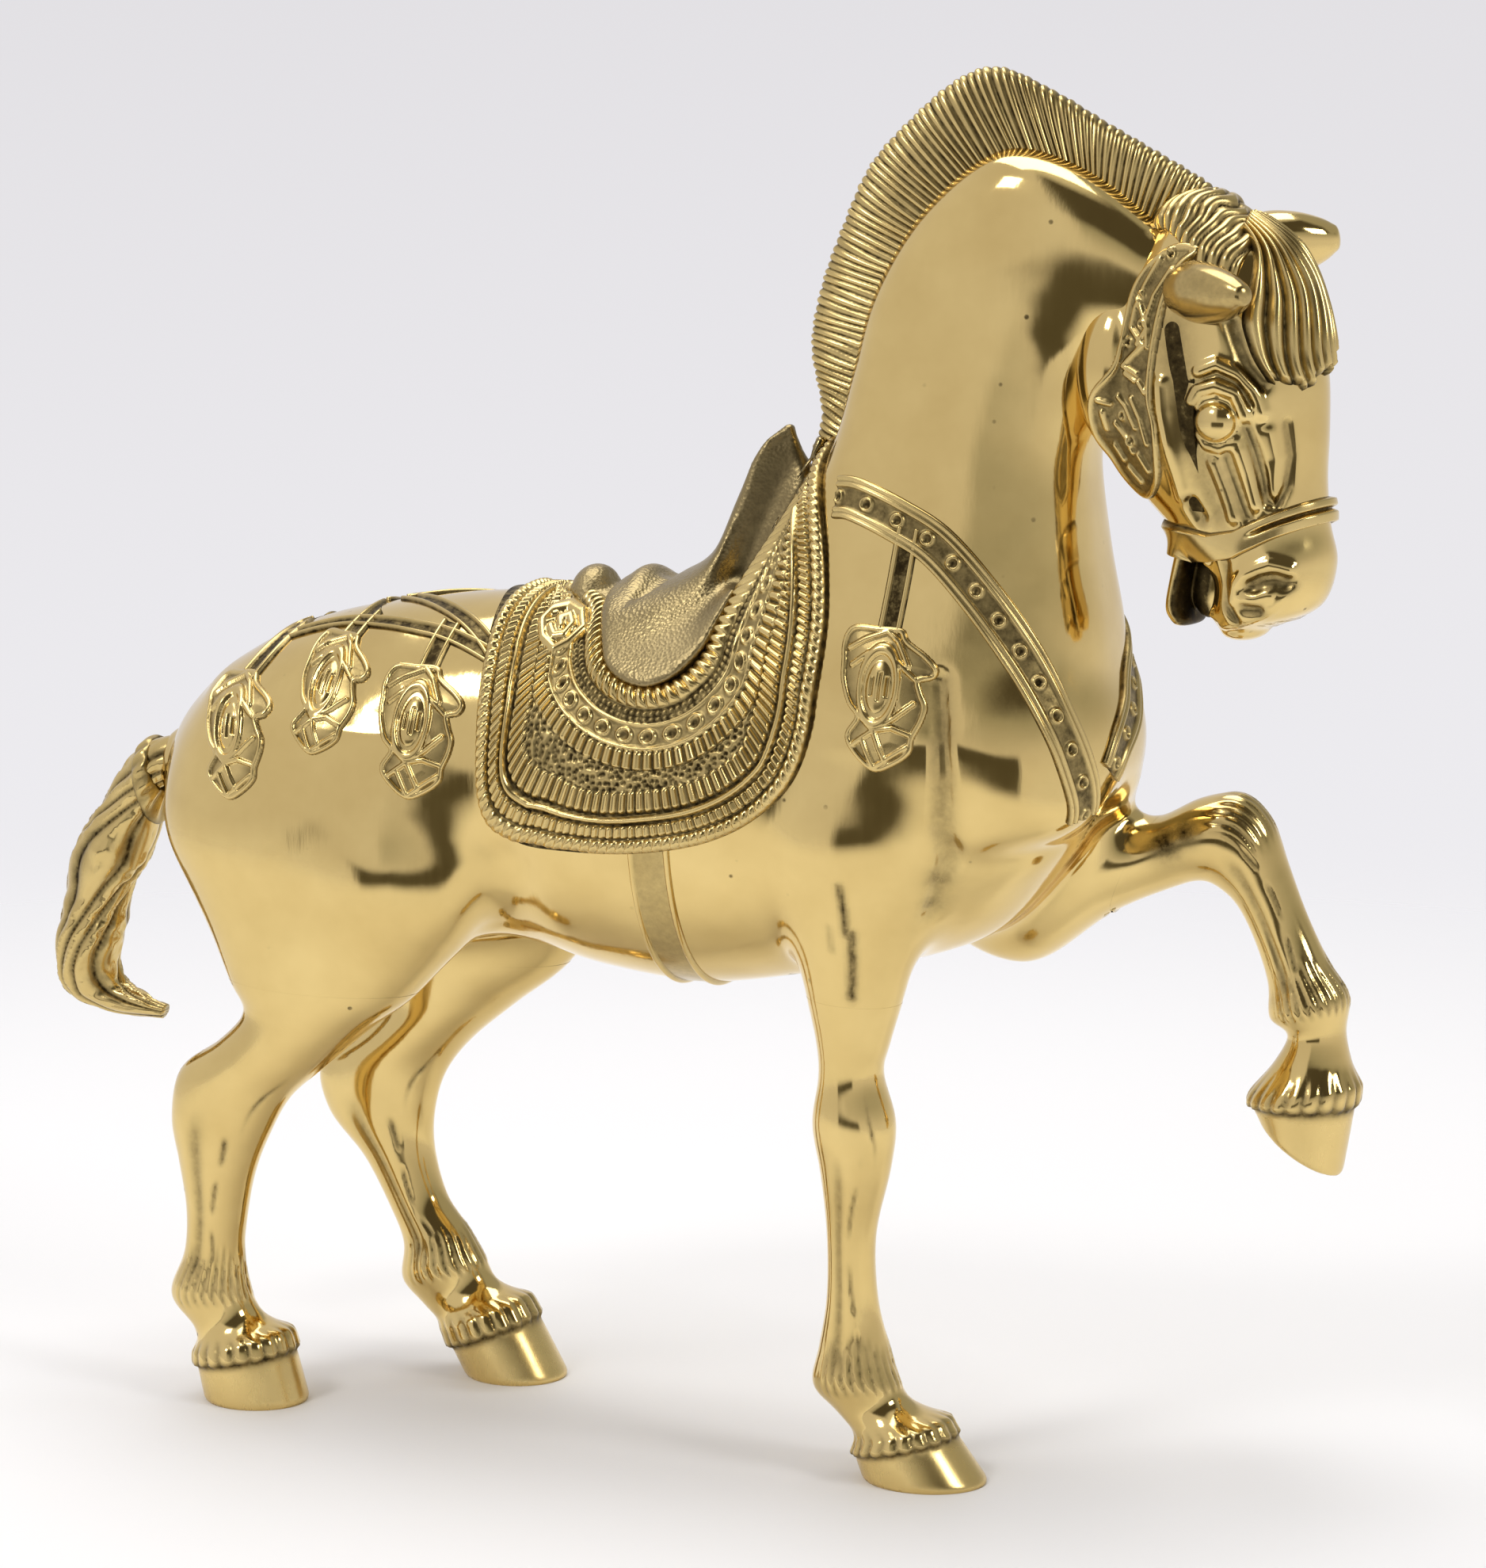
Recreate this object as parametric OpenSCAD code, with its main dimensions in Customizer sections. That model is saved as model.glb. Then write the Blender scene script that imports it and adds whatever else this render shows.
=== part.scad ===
// Standing brass horse with one raised foreleg, cast in pieces and brazed together.
// Frame: millimetres, +X the way the horse faces, +Z up, origin on the floor under the middle.

/* [Figure] */
// Length from the tail to the raised hoof
figure_len = 324; // [280:1:380]
// Height of the belly above the floor
leg_h = 110; // [95:1:130]
// Depth of the trunk from belly to back
trunk_h = 89; // [78:1:100]
// Rise of the neck and mane above the back
neck_h = 125; // [110:1:140]
// Half the width of the trunk at the haunches
trunk_half_w = 40; // [35:0.5:46]
// Turn of the head towards the right side, in degrees
head_turn = 12; // [8:1:14]
// Thickness of the hollow trunk's wall
wall = 4; // [3:0.5:5.5]

/* [Brazed joints] */
// Radius of the round tenons of the legs and the tail
tenon_r = 4.5; // [3.5:0.1:5.5]
// Length of the leg tenons
tenon_len = 14; // [9:0.5:18]
// Clearance that the braze fills round a tenon
braze_gap = 0.1; // [0.05:0.05:0.2]

/* [Mane and head] */
// Number of cross ridges along the mane
mane_ridges = 40; // [36:1:64]
// Depth of the grooves between the ridges
ridge_depth = 0.9; // [0.4:0.1:1.4]
// Thickness of the combed lock on the forehead
forelock_t = 3; // [2:0.25:4]
// Length of the ears
ear_len = 21; // [16:1:25]
// Half the width of the ears
ear_half_w = 6; // [4.5:0.25:7]
// Half the thickness of the ears
ear_half_t = 5; // [2.75:0.25:6]
// Thickness of the bridle straps
bridle_t = 1.4; // [0.8:0.1:2]
// Width of the noseband
noseband_w = 7; // [5:0.5:9]

/* [Saddle and cloth] */
// Thickness of the saddle cloth
cloth_t = 2.2; // [1.4:0.1:3]
// Width of the raised border round the cloth
border_w = 10; // [7:0.5:13]
// Width of the raised border of the cloth round the saddle flaps
flap_border_w = 5; // [3:0.5:8]
// Depth of the field between the two borders, as a share of the cloth's thickness
field_share = 0.45; // [0.2:0.05:0.6]
// Width of the raised ridge along the inner edge of the border
ridge_w = 2.4; // [1.5:0.1:3.5]
// Height of that ridge and of the rope round the flaps over the cloth
ridge_t = 0.5; // [0.3:0.1:0.8]
// Thickness of the saddle flaps over the cloth
flap_t = 1.8; // [1.2:0.1:2.6]
// Thickness of the girth
girth_t = 1; // [0.6:0.1:1.6]
// Width of the girth
girth_w = 10; // [7:0.5:14]

/* [Harness] */
// Thickness of the breast collar
collar_t = 1.5; // [1:0.1:2.2]
// Width of the breast collar
collar_w = 10; // [7:0.5:12]
// Thickness of the crupper straps
crupper_t = 1.2; // [0.8:0.1:2]
// Width of the crupper straps
crupper_w = 4; // [3:0.5:6]
// Thickness of the tassel plates
tassel_t = 2.6; // [1.6:0.1:3.4]
// Half the width of the tassel plates
tassel_half_w = 9; // [6.5:0.5:10]
// Width of the straps that the tassels hang from
drop_w = 5; // [3.5:0.5:7]
// Thickness of the band round the root of the tail
dock_t = 1.2; // [0.8:0.1:2]

/* [Hidden] */
// The heights and the length at which the stations below are drawn
drawn_len = 324;
drawn_middle = 3.2;
drawn_belly = 110;
drawn_back = 199;
drawn_top = 324;
drawn_half_w = 40;

// Rings between two stations, and sides of a ring
steps = 2;
trunk_sides = 16;
head_sides = 14;
limb_sides = 12;
core_sides = 10;
mane_sides = 6;
ear_sides = 6;
lobe_sides = 12;
tenon_sides = 48;

// Larger than the figure, for cutting planes
beyond = 500;

polished = [0.76, 0.62, 0.30];
worked = [0.64, 0.50, 0.24];
satin = [0.70, 0.60, 0.36];

// Where a drawn length, height or width falls on the figure
function along(x) = (x - drawn_middle) * figure_len / drawn_len;
function across(y) = y * trunk_half_w / drawn_half_w;
function up(z) =
    z < drawn_belly ? z * leg_h / drawn_belly :
    z < drawn_back ? leg_h + (z - drawn_belly) * trunk_h / (drawn_back - drawn_belly) :
    leg_h + trunk_h + (z - drawn_back) * neck_h / (drawn_top - drawn_back);

// A station is one cross-section: [front x, front z, back x, back z, middle y, half width]
function placed(stations) = [
    for (s = stations)
        [along(s[0]), up(s[1]), along(s[2]), up(s[3]), across(s[4]), across(s[5])]
];

// Smooth curve through a list of stations
function curve(a, b, c, d, t) =
    (2 * b + (c - a) * t + (2 * a - 5 * b + 4 * c - d) * t * t
        + (3 * b - a - 3 * c + d) * t * t * t) / 2;
function smoothed(path, count) =
    let (last = len(path) - 1)
    concat(
        [
            for (i = [0 : last - 1], j = [0 : count - 1])
                curve(path[max(i - 1, 0)], path[i], path[i + 1], path[min(i + 2, last)], j / count)
        ],
        [path[last]]
    );
function part_of(path, first, last) = [for (i = [first : last]) path[i]];
function every(path, n) = [for (i = [0 : n : len(path) - 1]) path[i]];

// One oval ring across a limb, larger by grow all round
function ring(s, sides, grow) =
    let (
        middle = [s[0] + s[2], 2 * s[4], s[1] + s[3]] / 2,
        reach = [s[0] - s[2], 0, s[1] - s[3]] / 2,
        depth = norm(reach)
    )
    [
        for (k = [0 : sides - 1])
            middle + reach * ((depth + grow) / depth) * cos(360 * k / sides)
                + [0, s[5] + grow, 0] * sin(360 * k / sides)
    ];

module loft(path, sides, grow = 0) {
    last = len(path) - 1;
    points = [for (s = path) each ring(s, sides, grow)];
    walls = [
        for (i = [0 : last - 1], k = [0 : sides - 1])
            let (a = i * sides + k, b = i * sides + (k + 1) % sides)
            each [[a, b, b + sides], [a, b + sides, a + sides]]
    ];
    first_cap = [for (k = [sides - 1 : -1 : 0]) k];
    last_cap = [for (k = [0 : sides - 1]) last * sides + k];
    polyhedron(points, concat(walls, [first_cap, last_cap]), convexity = 6);
}

// Trunk from rump to chest, upper edge first
trunk_path = smoothed(placed([
    [-124, 161, -124, 141, 0, 9],
    [-117, 170.5, -117, 128, 0, 23],
    [-104, 181.5, -104, 115, 0, 34],
    [-85, 190.5, -85, 111, 0, 39.5],
    [-60, 196, -60, 113, 0, 40],
    [-34, 199, -34, 116, 0, 37],
    [-9, 199, -9, 111, 0, 38],
    [16, 201, 16, 109, 0, 39],
    [41, 208, 41, 113, 0, 38],
    [66, 211, 66, 118, 0, 36.5],
    [86, 207, 86, 126, 0, 33],
    [99, 200, 99, 139, 0, 30],
    [107.5, 190, 107.5, 152, 0, 23],
    [110.5, 180, 110.5, 163, 0, 12]
]), steps);

// Neck from the withers to its end inside the head, crest first
neck_path = smoothed(placed([
    [20, 196, 111, 168, 0, 34],
    [38, 220, 113, 192, 0, 30],
    [48, 240, 109.5, 215, 0, 25.5],
    [52, 256, 107.5, 234, 0, 22],
    [57, 274, 109, 246, 0, 19.5],
    [69, 293, 110, 254, 0, 17.5],
    [87, 306, 113, 259, 0, 16],
    [106, 302, 116, 261, 0, 15],
    [124, 290, 120, 262, 0, 13.5]
]), steps);

// Legs from shoulder or thigh to sole, front edge first
right_fore_path = smoothed(placed([
    [92, 172, 46, 168, -20, 14],
    [86, 152, 42, 152, -23, 15.5],
    [79, 136, 43, 140, -24, 13.5],
    [73.5, 122, 45.5, 124, -24, 11.5],
    [70.5, 112, 48, 113, -24, 10],
    [67.5, 102, 50.5, 102, -24, 8.8],
    [66, 95, 51, 94, -24, 8.3],
    [69, 84, 49.5, 83, -24, 9.3],
    [68, 73, 51.5, 71, -24, 8],
    [64.5, 57, 53, 57, -24, 6.2],
    [65, 42, 53, 42, -24, 6.2],
    [67.5, 31, 51, 30, -23.5, 7.5],
    [70, 23, 49.5, 21, -23.5, 9],
    [73, 18, 55, 15, -23, 8],
    [81, 15, 61, 9, -23, 10.5],
    [83, 12, 60, 6, -23, 11.5],
    [92, 0, 62, 0, -23, 12.5]
]), steps);

right_hind_path = smoothed(placed([
    [-37, 160, -103, 170, -19, 15],
    [-33, 138, -115, 145, -23.5, 17.5],
    [-38, 121, -107.5, 125, -25, 16],
    [-51, 105, -100, 106, -25, 14],
    [-64, 95, -96, 98, -25, 12],
    [-77, 84, -103, 90, -24.5, 10.5],
    [-86, 76, -114, 82, -24, 9.5],
    [-92, 66, -117, 70, -23.5, 9],
    [-96, 57, -115.5, 59, -23, 8],
    [-98.5, 47, -114, 47, -22.5, 7],
    [-100, 36, -115, 36, -22, 6.8],
    [-99, 27, -119, 25, -21.5, 8.5],
    [-96, 21, -113, 17, -21, 8],
    [-90, 18, -112, 12, -21, 10.5],
    [-88, 14, -112, 9, -21, 11.5],
    [-84, 0, -110, 0, -21, 12]
]), steps);

left_hind_path = smoothed(placed([
    [-31, 160, -101, 170, 19, 15],
    [-22, 138, -110, 145, 23.5, 17.5],
    [-22, 121, -102, 125, 25, 16],
    [-34, 104, -91, 104, 25, 13.5],
    [-48, 93, -84, 93, 25, 11.5],
    [-60, 83, -88, 85, 24.5, 10.5],
    [-67, 74, -100, 75, 24, 9.5],
    [-70, 64, -98, 63, 23.5, 9],
    [-70, 54, -88, 52, 23, 8],
    [-66.5, 43, -81, 40, 22.5, 7],
    [-61, 36, -77, 31, 22, 7.5],
    [-56.5, 29, -77.5, 22, 22, 8.7],
    [-53, 23, -72, 16, 22, 8],
    [-46, 20, -66, 11, 22, 10.5],
    [-43, 16, -64, 7, 22, 11.5],
    [-34, 0, -60, 0, 22, 12]
]), steps);

left_fore_path = smoothed(placed([
    [93, 172, 52, 161, 20, 14],
    [104, 160, 62, 125, 23, 15],
    [110, 152, 84, 113.5, 25, 13.5],
    [116, 150.5, 105, 127, 26, 10.5],
    [126, 155.5, 120, 134, 26, 9.3],
    [136, 157, 127, 136, 26, 9.3],
    [143, 151, 132, 134, 26, 8.7],
    [147, 141, 136, 130, 26, 7.5],
    [151.5, 130, 140, 122, 26, 6.5],
    [157, 119, 143, 113, 26, 7.2],
    [162, 111, 143.5, 105, 26, 9],
    [161.5, 102, 148, 101, 26, 7.3],
    [164, 91, 141, 89, 26, 10.8],
    [164, 87, 139.5, 85, 26, 11.5],
    [161, 68.5, 142, 81.5, 26, 11]
]), steps);

// Breast muscle beside the middle of the chest, drawn for the left side
breast_path = smoothed(placed([
    [100, 196, 84, 194, 12, 7],
    [110, 184, 80, 180, 14, 14],
    [113.5, 170, 80, 166, 15, 16],
    [111, 155, 80, 152, 15, 15],
    [96, 148, 80, 144, 13, 6]
]), steps);

tail_path = smoothed(placed([
    [-120, 146, -118, 160, 0, 7],
    [-129, 146, -128, 159, 0, 7.5],
    [-133, 135, -140, 151, 0, 8.5],
    [-138, 124, -150, 137, 0, 9],
    [-142, 113, -157, 121, 0, 8.5],
    [-144, 103, -160, 106, 0, 8],
    [-143, 96, -158, 93, 0, 7],
    [-139, 93, -148, 88, 0, 5],
    [-131, 91, -132, 87.5, 0, 2.2]
]), steps);

skull_path = smoothed(placed([
    [142, 293, 124, 289, 0, 9],
    [155, 285, 116, 279, 0, 15],
    [161.5, 272, 110, 266, 0, 18],
    [164, 258, 108, 253, 0, 19.5],
    [164.5, 246, 111, 240, 0, 18.5],
    [164.5, 235, 118.5, 230, 0, 15.5],
    [165.5, 225, 127, 221, 0, 13.5],
    [167, 216, 139, 212, 0, 13.5],
    [163, 206, 139, 203.5, 0, 12.5],
    [151, 199, 141, 198.5, 0, 8]
]), steps);

jaw_path = smoothed(placed([
    [140, 224, 131, 222, 0, 9.5],
    [134.5, 212, 129, 211, 0, 8.5],
    [133, 205, 128, 204, 0, 8],
    [134, 201.5, 129, 201, 0, 6.5]
]), steps);

// Mane from the withers to the poll, outer edge first
mane_stations = placed([
    [44, 242, 56, 242, 0, 3.5],
    [39, 259, 60, 258, 0, 5],
    [41, 272, 63, 270, 0, 5],
    [46, 286, 68, 280, 0, 5],
    [53, 301, 75, 288, 0, 5],
    [63, 312, 82, 294, 0, 5],
    [74, 321, 89, 298, 0, 5],
    [84, 324, 96, 298, 0, 5],
    [97, 319, 104, 296, 0, 5],
    [110, 312, 110, 293, 0, 5],
    [129, 302, 122, 284, 0, 5],
    [141, 295, 132, 280, 0, 4.5],
    [148, 291, 138, 282, 0, 3]
]);

// Right ear along +X, upper edge first: [share of the length, of the thickness, of the width]
ear_profile = [[0, 0.9, 0.8], [0.24, 1, 1], [0.57, 0.86, 0.9], [0.86, 0.62, 0.6], [1, 0.4, 0.36]];
ear_path = smoothed([
    for (q = ear_profile)
        [q[0] * ear_len, q[1] * ear_half_t, q[0] * ear_len, -q[1] * ear_half_t, 0, q[2] * ear_half_w]
], steps);

// Saddle seat from the back to the top of the pommel, upper edge first, above the cloth
seat_path = smoothed(placed([
    [-24, 197, -24, 182, 0, 6],
    [-16, 199, -16, 180, 0, 11],
    [-4, 200, -4, 180, 0, 20],
    [8, 203, 8, 182, 0, 22],
    [18, 211, 18, 186, 0, 18],
    [22.5, 223, 25, 192, 0, 13],
    [27.5, 234, 35, 200, 0, 8.5],
    [34, 239, 43, 210, 0, 5]
]), steps);

// Stations where the legs leave the body
fore_joint = 4 * steps;
hind_joint = 3 * steps;
raised_joint = 3 * steps;
tail_joint = steps;
// First and last station of the hollow in the trunk, the neck and the skull
trunk_hollow = [2, 11];
neck_hollow = [0, 6];
skull_hollow = [1, 6];
// How far a tenon reaches back into its own leg
tenon_root = 1;

// Outlines of the harness, seen from the right side: [x, z]
cloth_outline = [
    [-36, 215], [-34.6, 197.5], [-31.5, 188], [-29.5, 157], [-26, 148.5], [-10, 145], [10, 145.5],
    [30, 150], [43, 158], [51, 169], [55, 194], [54, 215], [50, 231], [44, 239], [25, 239]
];
flap_outline = [
    [-6, 215], [-3, 197], [-0.5, 192], [2.5, 188], [7, 185], [12, 184], [17, 186], [21.5, 189.5],
    [24, 193], [25.5, 198], [31, 212], [35, 228], [34, 238], [20, 238]
];
cheek_outline = [
    [134, 285.5], [128, 281], [124.5, 275], [123, 266], [121.5, 259], [116.5, 252], [116, 244],
    [118, 238], [121, 232.5], [126.5, 230], [131, 234], [132.5, 240], [132.5, 247], [131.5, 253],
    [132, 263], [133.5, 274], [136, 281.5], [139.5, 285]
];
// Middle of the breast collar on the right and on the left, each drawn on the right side and seen
// from the front quarter: [x, y, z]; the left strap crosses the middle plane in front of collar_front
collar_lines = [
    [
        [54, -24, 228], [60, -23, 227], [70, -26, 223.5], [80, -27, 218], [90.5, -26.5, 207],
        [99.5, -25.6, 194], [107, -25.5, 181], [110.5, -24, 173], [113, -21, 163], [113, -19, 156]
    ],
    [
        [54, -24, 228], [60, -23, 227], [70, -26, 223.5], [80, -27, 218], [90.5, -26.5, 208],
        [99, -24.5, 199], [107, -17, 190.5], [113, -8.5, 184.5], [116.6, -1.4, 179.3],
        [117.1, 7.4, 173.4], [115.4, 13.2, 165.1], [113, 19, 157]
    ]
];
collar_front = 104;
// Middle of the crupper straps on the right side, seen from above: [x, y]
crupper_line = [[-28, -27], [-43, -22], [-51, -20], [-65, -16], [-75, -13.5], [-90, -13]];
croup_line = [crupper_line[0], [-38, -19.5], [-50, -11], [-64, 2]];
// Each tassel: start of its strap, top and tip of its plate, seen from the side: [x, z]
shoulder_tassel = [[73, 222], [70.5, 200], [69, 169]];
rump_tassels = [
    [[-44, 193], [-45.5, 184], [-46.5, 155]],
    [[-68, 194], [-69.5, 189], [-71, 164]],
    [[-89, 190], [-95, 179], [-92, 152]]
];
// Half widths of a tassel plate along its length: [share of the length, share of the width]
tassel_profile = [
    [0, 0.3], [0.1, 0.62], [0.28, 1], [0.45, 0.95], [0.62, 0.62], [0.72, 0.7], [0.86, 0.9],
    [0.95, 0.6], [1, 0.12]
];

right = 0;
left = 1;

// Forelock, seen from the front: [y, z], in front of this x
forelock_outline = [
    [-8, 287], [8, 287], [12, 281], [14.5, 271], [12, 265], [7.5, 262], [2, 258], [-4.5, 256],
    [-8.5, 255], [-12.5, 257], [-14.2, 263], [-14.5, 270], [-11.8, 279]
];
forelock_back = 138;
// Right and left ear, each drawn on the right side: base, rise and spread; their roll, in degrees
ear_bases = [[136, -14, 277], [139.5, -10, 286]];
ear_rises = [4, 10];
ear_spreads = [30, 32];
ear_roll = 50;
// Hollow of an ear: start along the leaf, rise off it and size, as shares of the leaf
ear_hollow_start = 0.4;
ear_hollow_rise = 0.74;
ear_hollow_size = [0.52, 0.68, 0.9];
// The head turns about this x
poll_x = 122;
// Lobes of the cantle above the cloth: middle and half sizes
cantle_lobes = [
    [[-15, 0, 196.5], [6, 8.5, 7.5]],
    [[-1.5, 0, 195.6], [5, 14, 9]]
];
// Height up to which the field, the ridge and the rope of the cloth reach, below the seat
field_top = 189;
// Distance of the ridge and the rope from the edges of the borders that they run on
ridge_inset = 0.4;
// Share of a tassel plate's length that its strap runs over
strap_overlap = 0.1;
// Noseband: middle and slope; girth: middle; tail band: width
nose_middle = [147, 222.2];
nose_slope = 14;
girth_x = 14;
dock_w = 4;

function flat(points) = [for (q = points) [along(q[0]), up(q[1])]];
function above(points) = [for (q = points) [along(q[0]), across(q[1])]];

// Outline of a strip of width w along a line of points
function strip(line, w) =
    let (
        last = len(line) - 1,
        edge = [
            for (i = [0 : last])
                let (d = line[min(i + 1, last)] - line[max(i - 1, 0)])
                [-d[1], d[0]] * w / (2 * norm(d))
        ]
    )
    concat([for (i = [0 : last]) line[i] + edge[i]], [for (i = [last : -1 : 0]) line[i] - edge[i]]);

// Outline of a tassel plate between its top and its tip
function tassel_outline(top, tip) =
    let (down = tip - top, out = [-down[1], down[0]] / norm(down) * tassel_half_w, n = len(tassel_profile))
    concat(
        [for (q = tassel_profile) top + down * q[0] + out * q[1]],
        [for (i = [n - 1 : -1 : 0]) top + down * tassel_profile[i][0] - out * tassel_profile[i][1]]
    );

// Joins lofted forms into one cast skin; a zero keeps that extent as drawn
module casting() {
    resize([0, 0, 0])
        union() children();
}

module on_side(side) {
    mirror([0, side, 0]) children();
}

// Prism of a side-view outline, from the middle plane out to one side
module side_prism(side) {
    on_side(side)
        rotate([90, 0, 0])
            linear_extrude(beyond)
                children();
}

// Everything on one side of the middle plane
module half_space(side) {
    on_side(side)
        translate([-beyond, -2 * beyond, -beyond])
            cube(2 * beyond);
}

module stumps(side, grow = 0) {
    fore = side == right ? part_of(right_fore_path, 0, fore_joint) : part_of(left_fore_path, 0, raised_joint);
    hind = part_of(side == right ? right_hind_path : left_hind_path, 0, hind_joint);
    loft(fore, limb_sides, grow);
    loft(hind, limb_sides, grow);
}

module body_form(grow = 0) {
    loft(trunk_path, trunk_sides, grow);
    loft(neck_path, trunk_sides, grow);
    for (side = [right, left]) {
        on_side(1 - side)
            loft(breast_path, limb_sides, grow);
        stumps(side, grow);
    }
}

// Core of a hollow casting along part of a path, drawn with fewer rings and sides
module core(path, hollow) {
    loft(every(part_of(path, hollow[0] * steps, hollow[1] * steps), steps), core_sides, -wall);
}

// Hollow of the body, which leaves a boss round each tenon
module cavity() {
    difference() {
        union() {
            core(trunk_path, trunk_hollow);
            core(neck_path, neck_hollow);
        }
        tenon(right_fore_path, fore_joint, wall);
        tenon(left_fore_path, raised_joint, wall);
        tenon(right_hind_path, hind_joint, wall);
        tenon(left_hind_path, hind_joint, wall);
        tail_tenon(wall);
    }
}

// A layer of the given thickness on the body, over an inner layer
module skin(thick, under = 0) {
    difference() {
        body_form(under + thick);
        body_form(under);
    }
}

// Stands a child on a station, pointing back along the limb towards the body
module at_station(path, i) {
    s = path[i];
    slope = atan2(s[1] - s[3], s[0] - s[2]);
    translate([(s[0] + s[2]) / 2, s[4], (s[1] + s[3]) / 2])
        rotate([0, -slope, 0])
            children();
}

module tenon(path, i, extra = 0) {
    at_station(path, i)
        translate([0, 0, -tenon_root])
            cylinder(h = tenon_len + tenon_root + extra, r = tenon_r + extra, $fn = tenon_sides);
}

module leg(path, joint) {
    color(polished)
        union() {
            casting() loft(part_of(path, joint, len(path) - 1), limb_sides);
            tenon(path, joint);
        }
}

module body_half(side) {
    fore_path = side == right ? right_fore_path : left_fore_path;
    fore = side == right ? fore_joint : raised_joint;
    hind_path = side == right ? right_hind_path : left_hind_path;
    color(polished)
        difference() {
            casting()
                difference() {
                    intersection() {
                        body_form();
                        half_space(side);
                    }
                    cavity();
                }
            tenon(fore_path, fore, braze_gap);
            tenon(hind_path, hind_joint, braze_gap);
            tail_tenon(braze_gap);
        }
}

module in_head() {
    poll = [along(poll_x), 0, 0];
    translate(poll)
        rotate([0, 0, -head_turn])
            translate(-poll)
                children();
}

module head_form(grow = 0) {
    loft(skull_path, head_sides, grow);
    loft(jaw_path, limb_sides, grow);
}

module head() {
    color(polished)
        casting()
            difference() {
                in_head()
                    difference() {
                        head_form();
                        core(skull_path, skull_hollow);
                    }
                body_form();
            }
}

// Mane: every second section is drawn in, which leaves ridges across the crest
function on_curve(path, t) =
    let (last = len(path) - 1, i = min(floor(t), last - 1))
    curve(path[max(i - 1, 0)], path[i], path[i + 1], path[min(i + 2, last)], t - i);
function drawn_in(s, d) =
    let (out = [s[0] - s[2], s[1] - s[3]], k = d / norm(out))
    [s[0] - out[0] * k, s[1] - out[1] * k, s[2], s[3], s[4], s[5] - d];
mane_path = [
    for (k = [0 : 2 * mane_ridges])
        let (s = on_curve(mane_stations, k * (len(mane_stations) - 1) / (2 * mane_ridges)))
        k % 2 == 0 ? drawn_in(s, ridge_depth) : s
];

module mane() {
    color(worked)
        casting()
            difference() {
                loft(mane_path, mane_sides);
                body_form();
                in_head() head_form();
            }
}

// A layer on the head, drawn with the head straight
module head_skin(thick) {
    difference() {
        head_form(thick);
        head_form();
    }
}

module forelock_form() {
    intersection() {
        head_skin(forelock_t);
        translate([along(forelock_back), 0, 0])
            rotate([90, 0, 90])
                linear_extrude(beyond)
                    polygon([for (q = forelock_outline) [across(q[0]), up(q[1])]]);
    }
}

module forelock() {
    color(worked)
        casting()
            difference() {
                in_head() forelock_form();
                loft(mane_path, mane_sides);
                body_form();
            }
}

// Leaf of an ear along +X, with the hollow in front
module ear_leaf() {
    difference() {
        loft(ear_path, ear_sides);
        translate([ear_len * ear_hollow_start, 0, ear_half_t * ear_hollow_rise])
            scale(ear_hollow_size)
                loft(ear_path, ear_sides);
    }
}

module ear_form(side) {
    on_side(side)
        translate([along(ear_bases[side][0]), across(ear_bases[side][1]), up(ear_bases[side][2])])
            rotate([0, -ear_rises[side], -ear_spreads[side]])
                rotate([ear_roll, 0, 0])
                    ear_leaf();
}

module ear(side) {
    color(polished)
        casting()
            difference() {
                in_head() {
                    difference() {
                        ear_form(side);
                        head_form();
                        forelock_form();
                    }
                }
                loft(mane_path, mane_sides);
                body_form();
            }
}

module noseband() {
    color(worked)
        casting()
            in_head()
                intersection() {
                    head_skin(bridle_t);
                    translate([along(nose_middle[0]), 0, up(nose_middle[1])])
                        rotate([0, -nose_slope, 0])
                            cube([beyond, beyond, noseband_w], center = true);
                }
}

module cheekpiece(side) {
    color(worked)
        casting()
            difference() {
                in_head()
                    difference() {
                        intersection() {
                            head_skin(bridle_t);
                            side_prism(side) polygon(flat(cheek_outline));
                        }
                        ear_form(side);
                        forelock_form();
                    }
                body_form();
                loft(mane_path, mane_sides);
            }
}

module tail_tenon(extra = 0) {
    tenon(tail_path, tail_joint, extra);
}

module tail() {
    color(worked)
        union() {
            casting()
                difference() {
                    loft(tail_path, limb_sides);
                    body_form();
                }
            tail_tenon();
        }
}

module dock_band() {
    color(worked)
        casting()
            difference() {
                intersection() {
                    loft(tail_path, limb_sides, dock_t);
                    at_station(tail_path, tail_joint + 1)
                        cube([beyond, beyond, dock_w], center = true);
                }
                loft(tail_path, limb_sides);
                body_form();
            }
}

// Prism of a side-view outline through both sides
module through_prism() {
    rotate([90, 0, 0])
        linear_extrude(2 * beyond, center = true)
            children();
}

module cloth_prism() {
    through_prism() polygon(flat(cloth_outline));
}

// Keeps what lies below the seat, seen from the side
module below_seat() {
    intersection() {
        children();
        translate([-beyond, 0]) square([2 * beyond, up(field_top)]);
    }
}

// Field between the two borders on the flanks, seen from the side
module cloth_field() {
    below_seat()
        difference() {
            offset(delta = -border_w) polygon(flat(cloth_outline));
            offset(delta = flap_border_w) polygon(flat(flap_outline));
        }
}

// Ridge along the border and rope round the flaps, seen from the side
module cloth_ridges() {
    below_seat()
        difference() {
            offset(delta = ridge_inset + ridge_w - border_w) polygon(flat(cloth_outline));
            offset(delta = ridge_inset - border_w) polygon(flat(cloth_outline));
        }
    below_seat()
        difference() {
            offset(delta = flap_border_w - ridge_inset) polygon(flat(flap_outline));
            offset(delta = ridge_inset) polygon(flat(flap_outline));
        }
}

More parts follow.
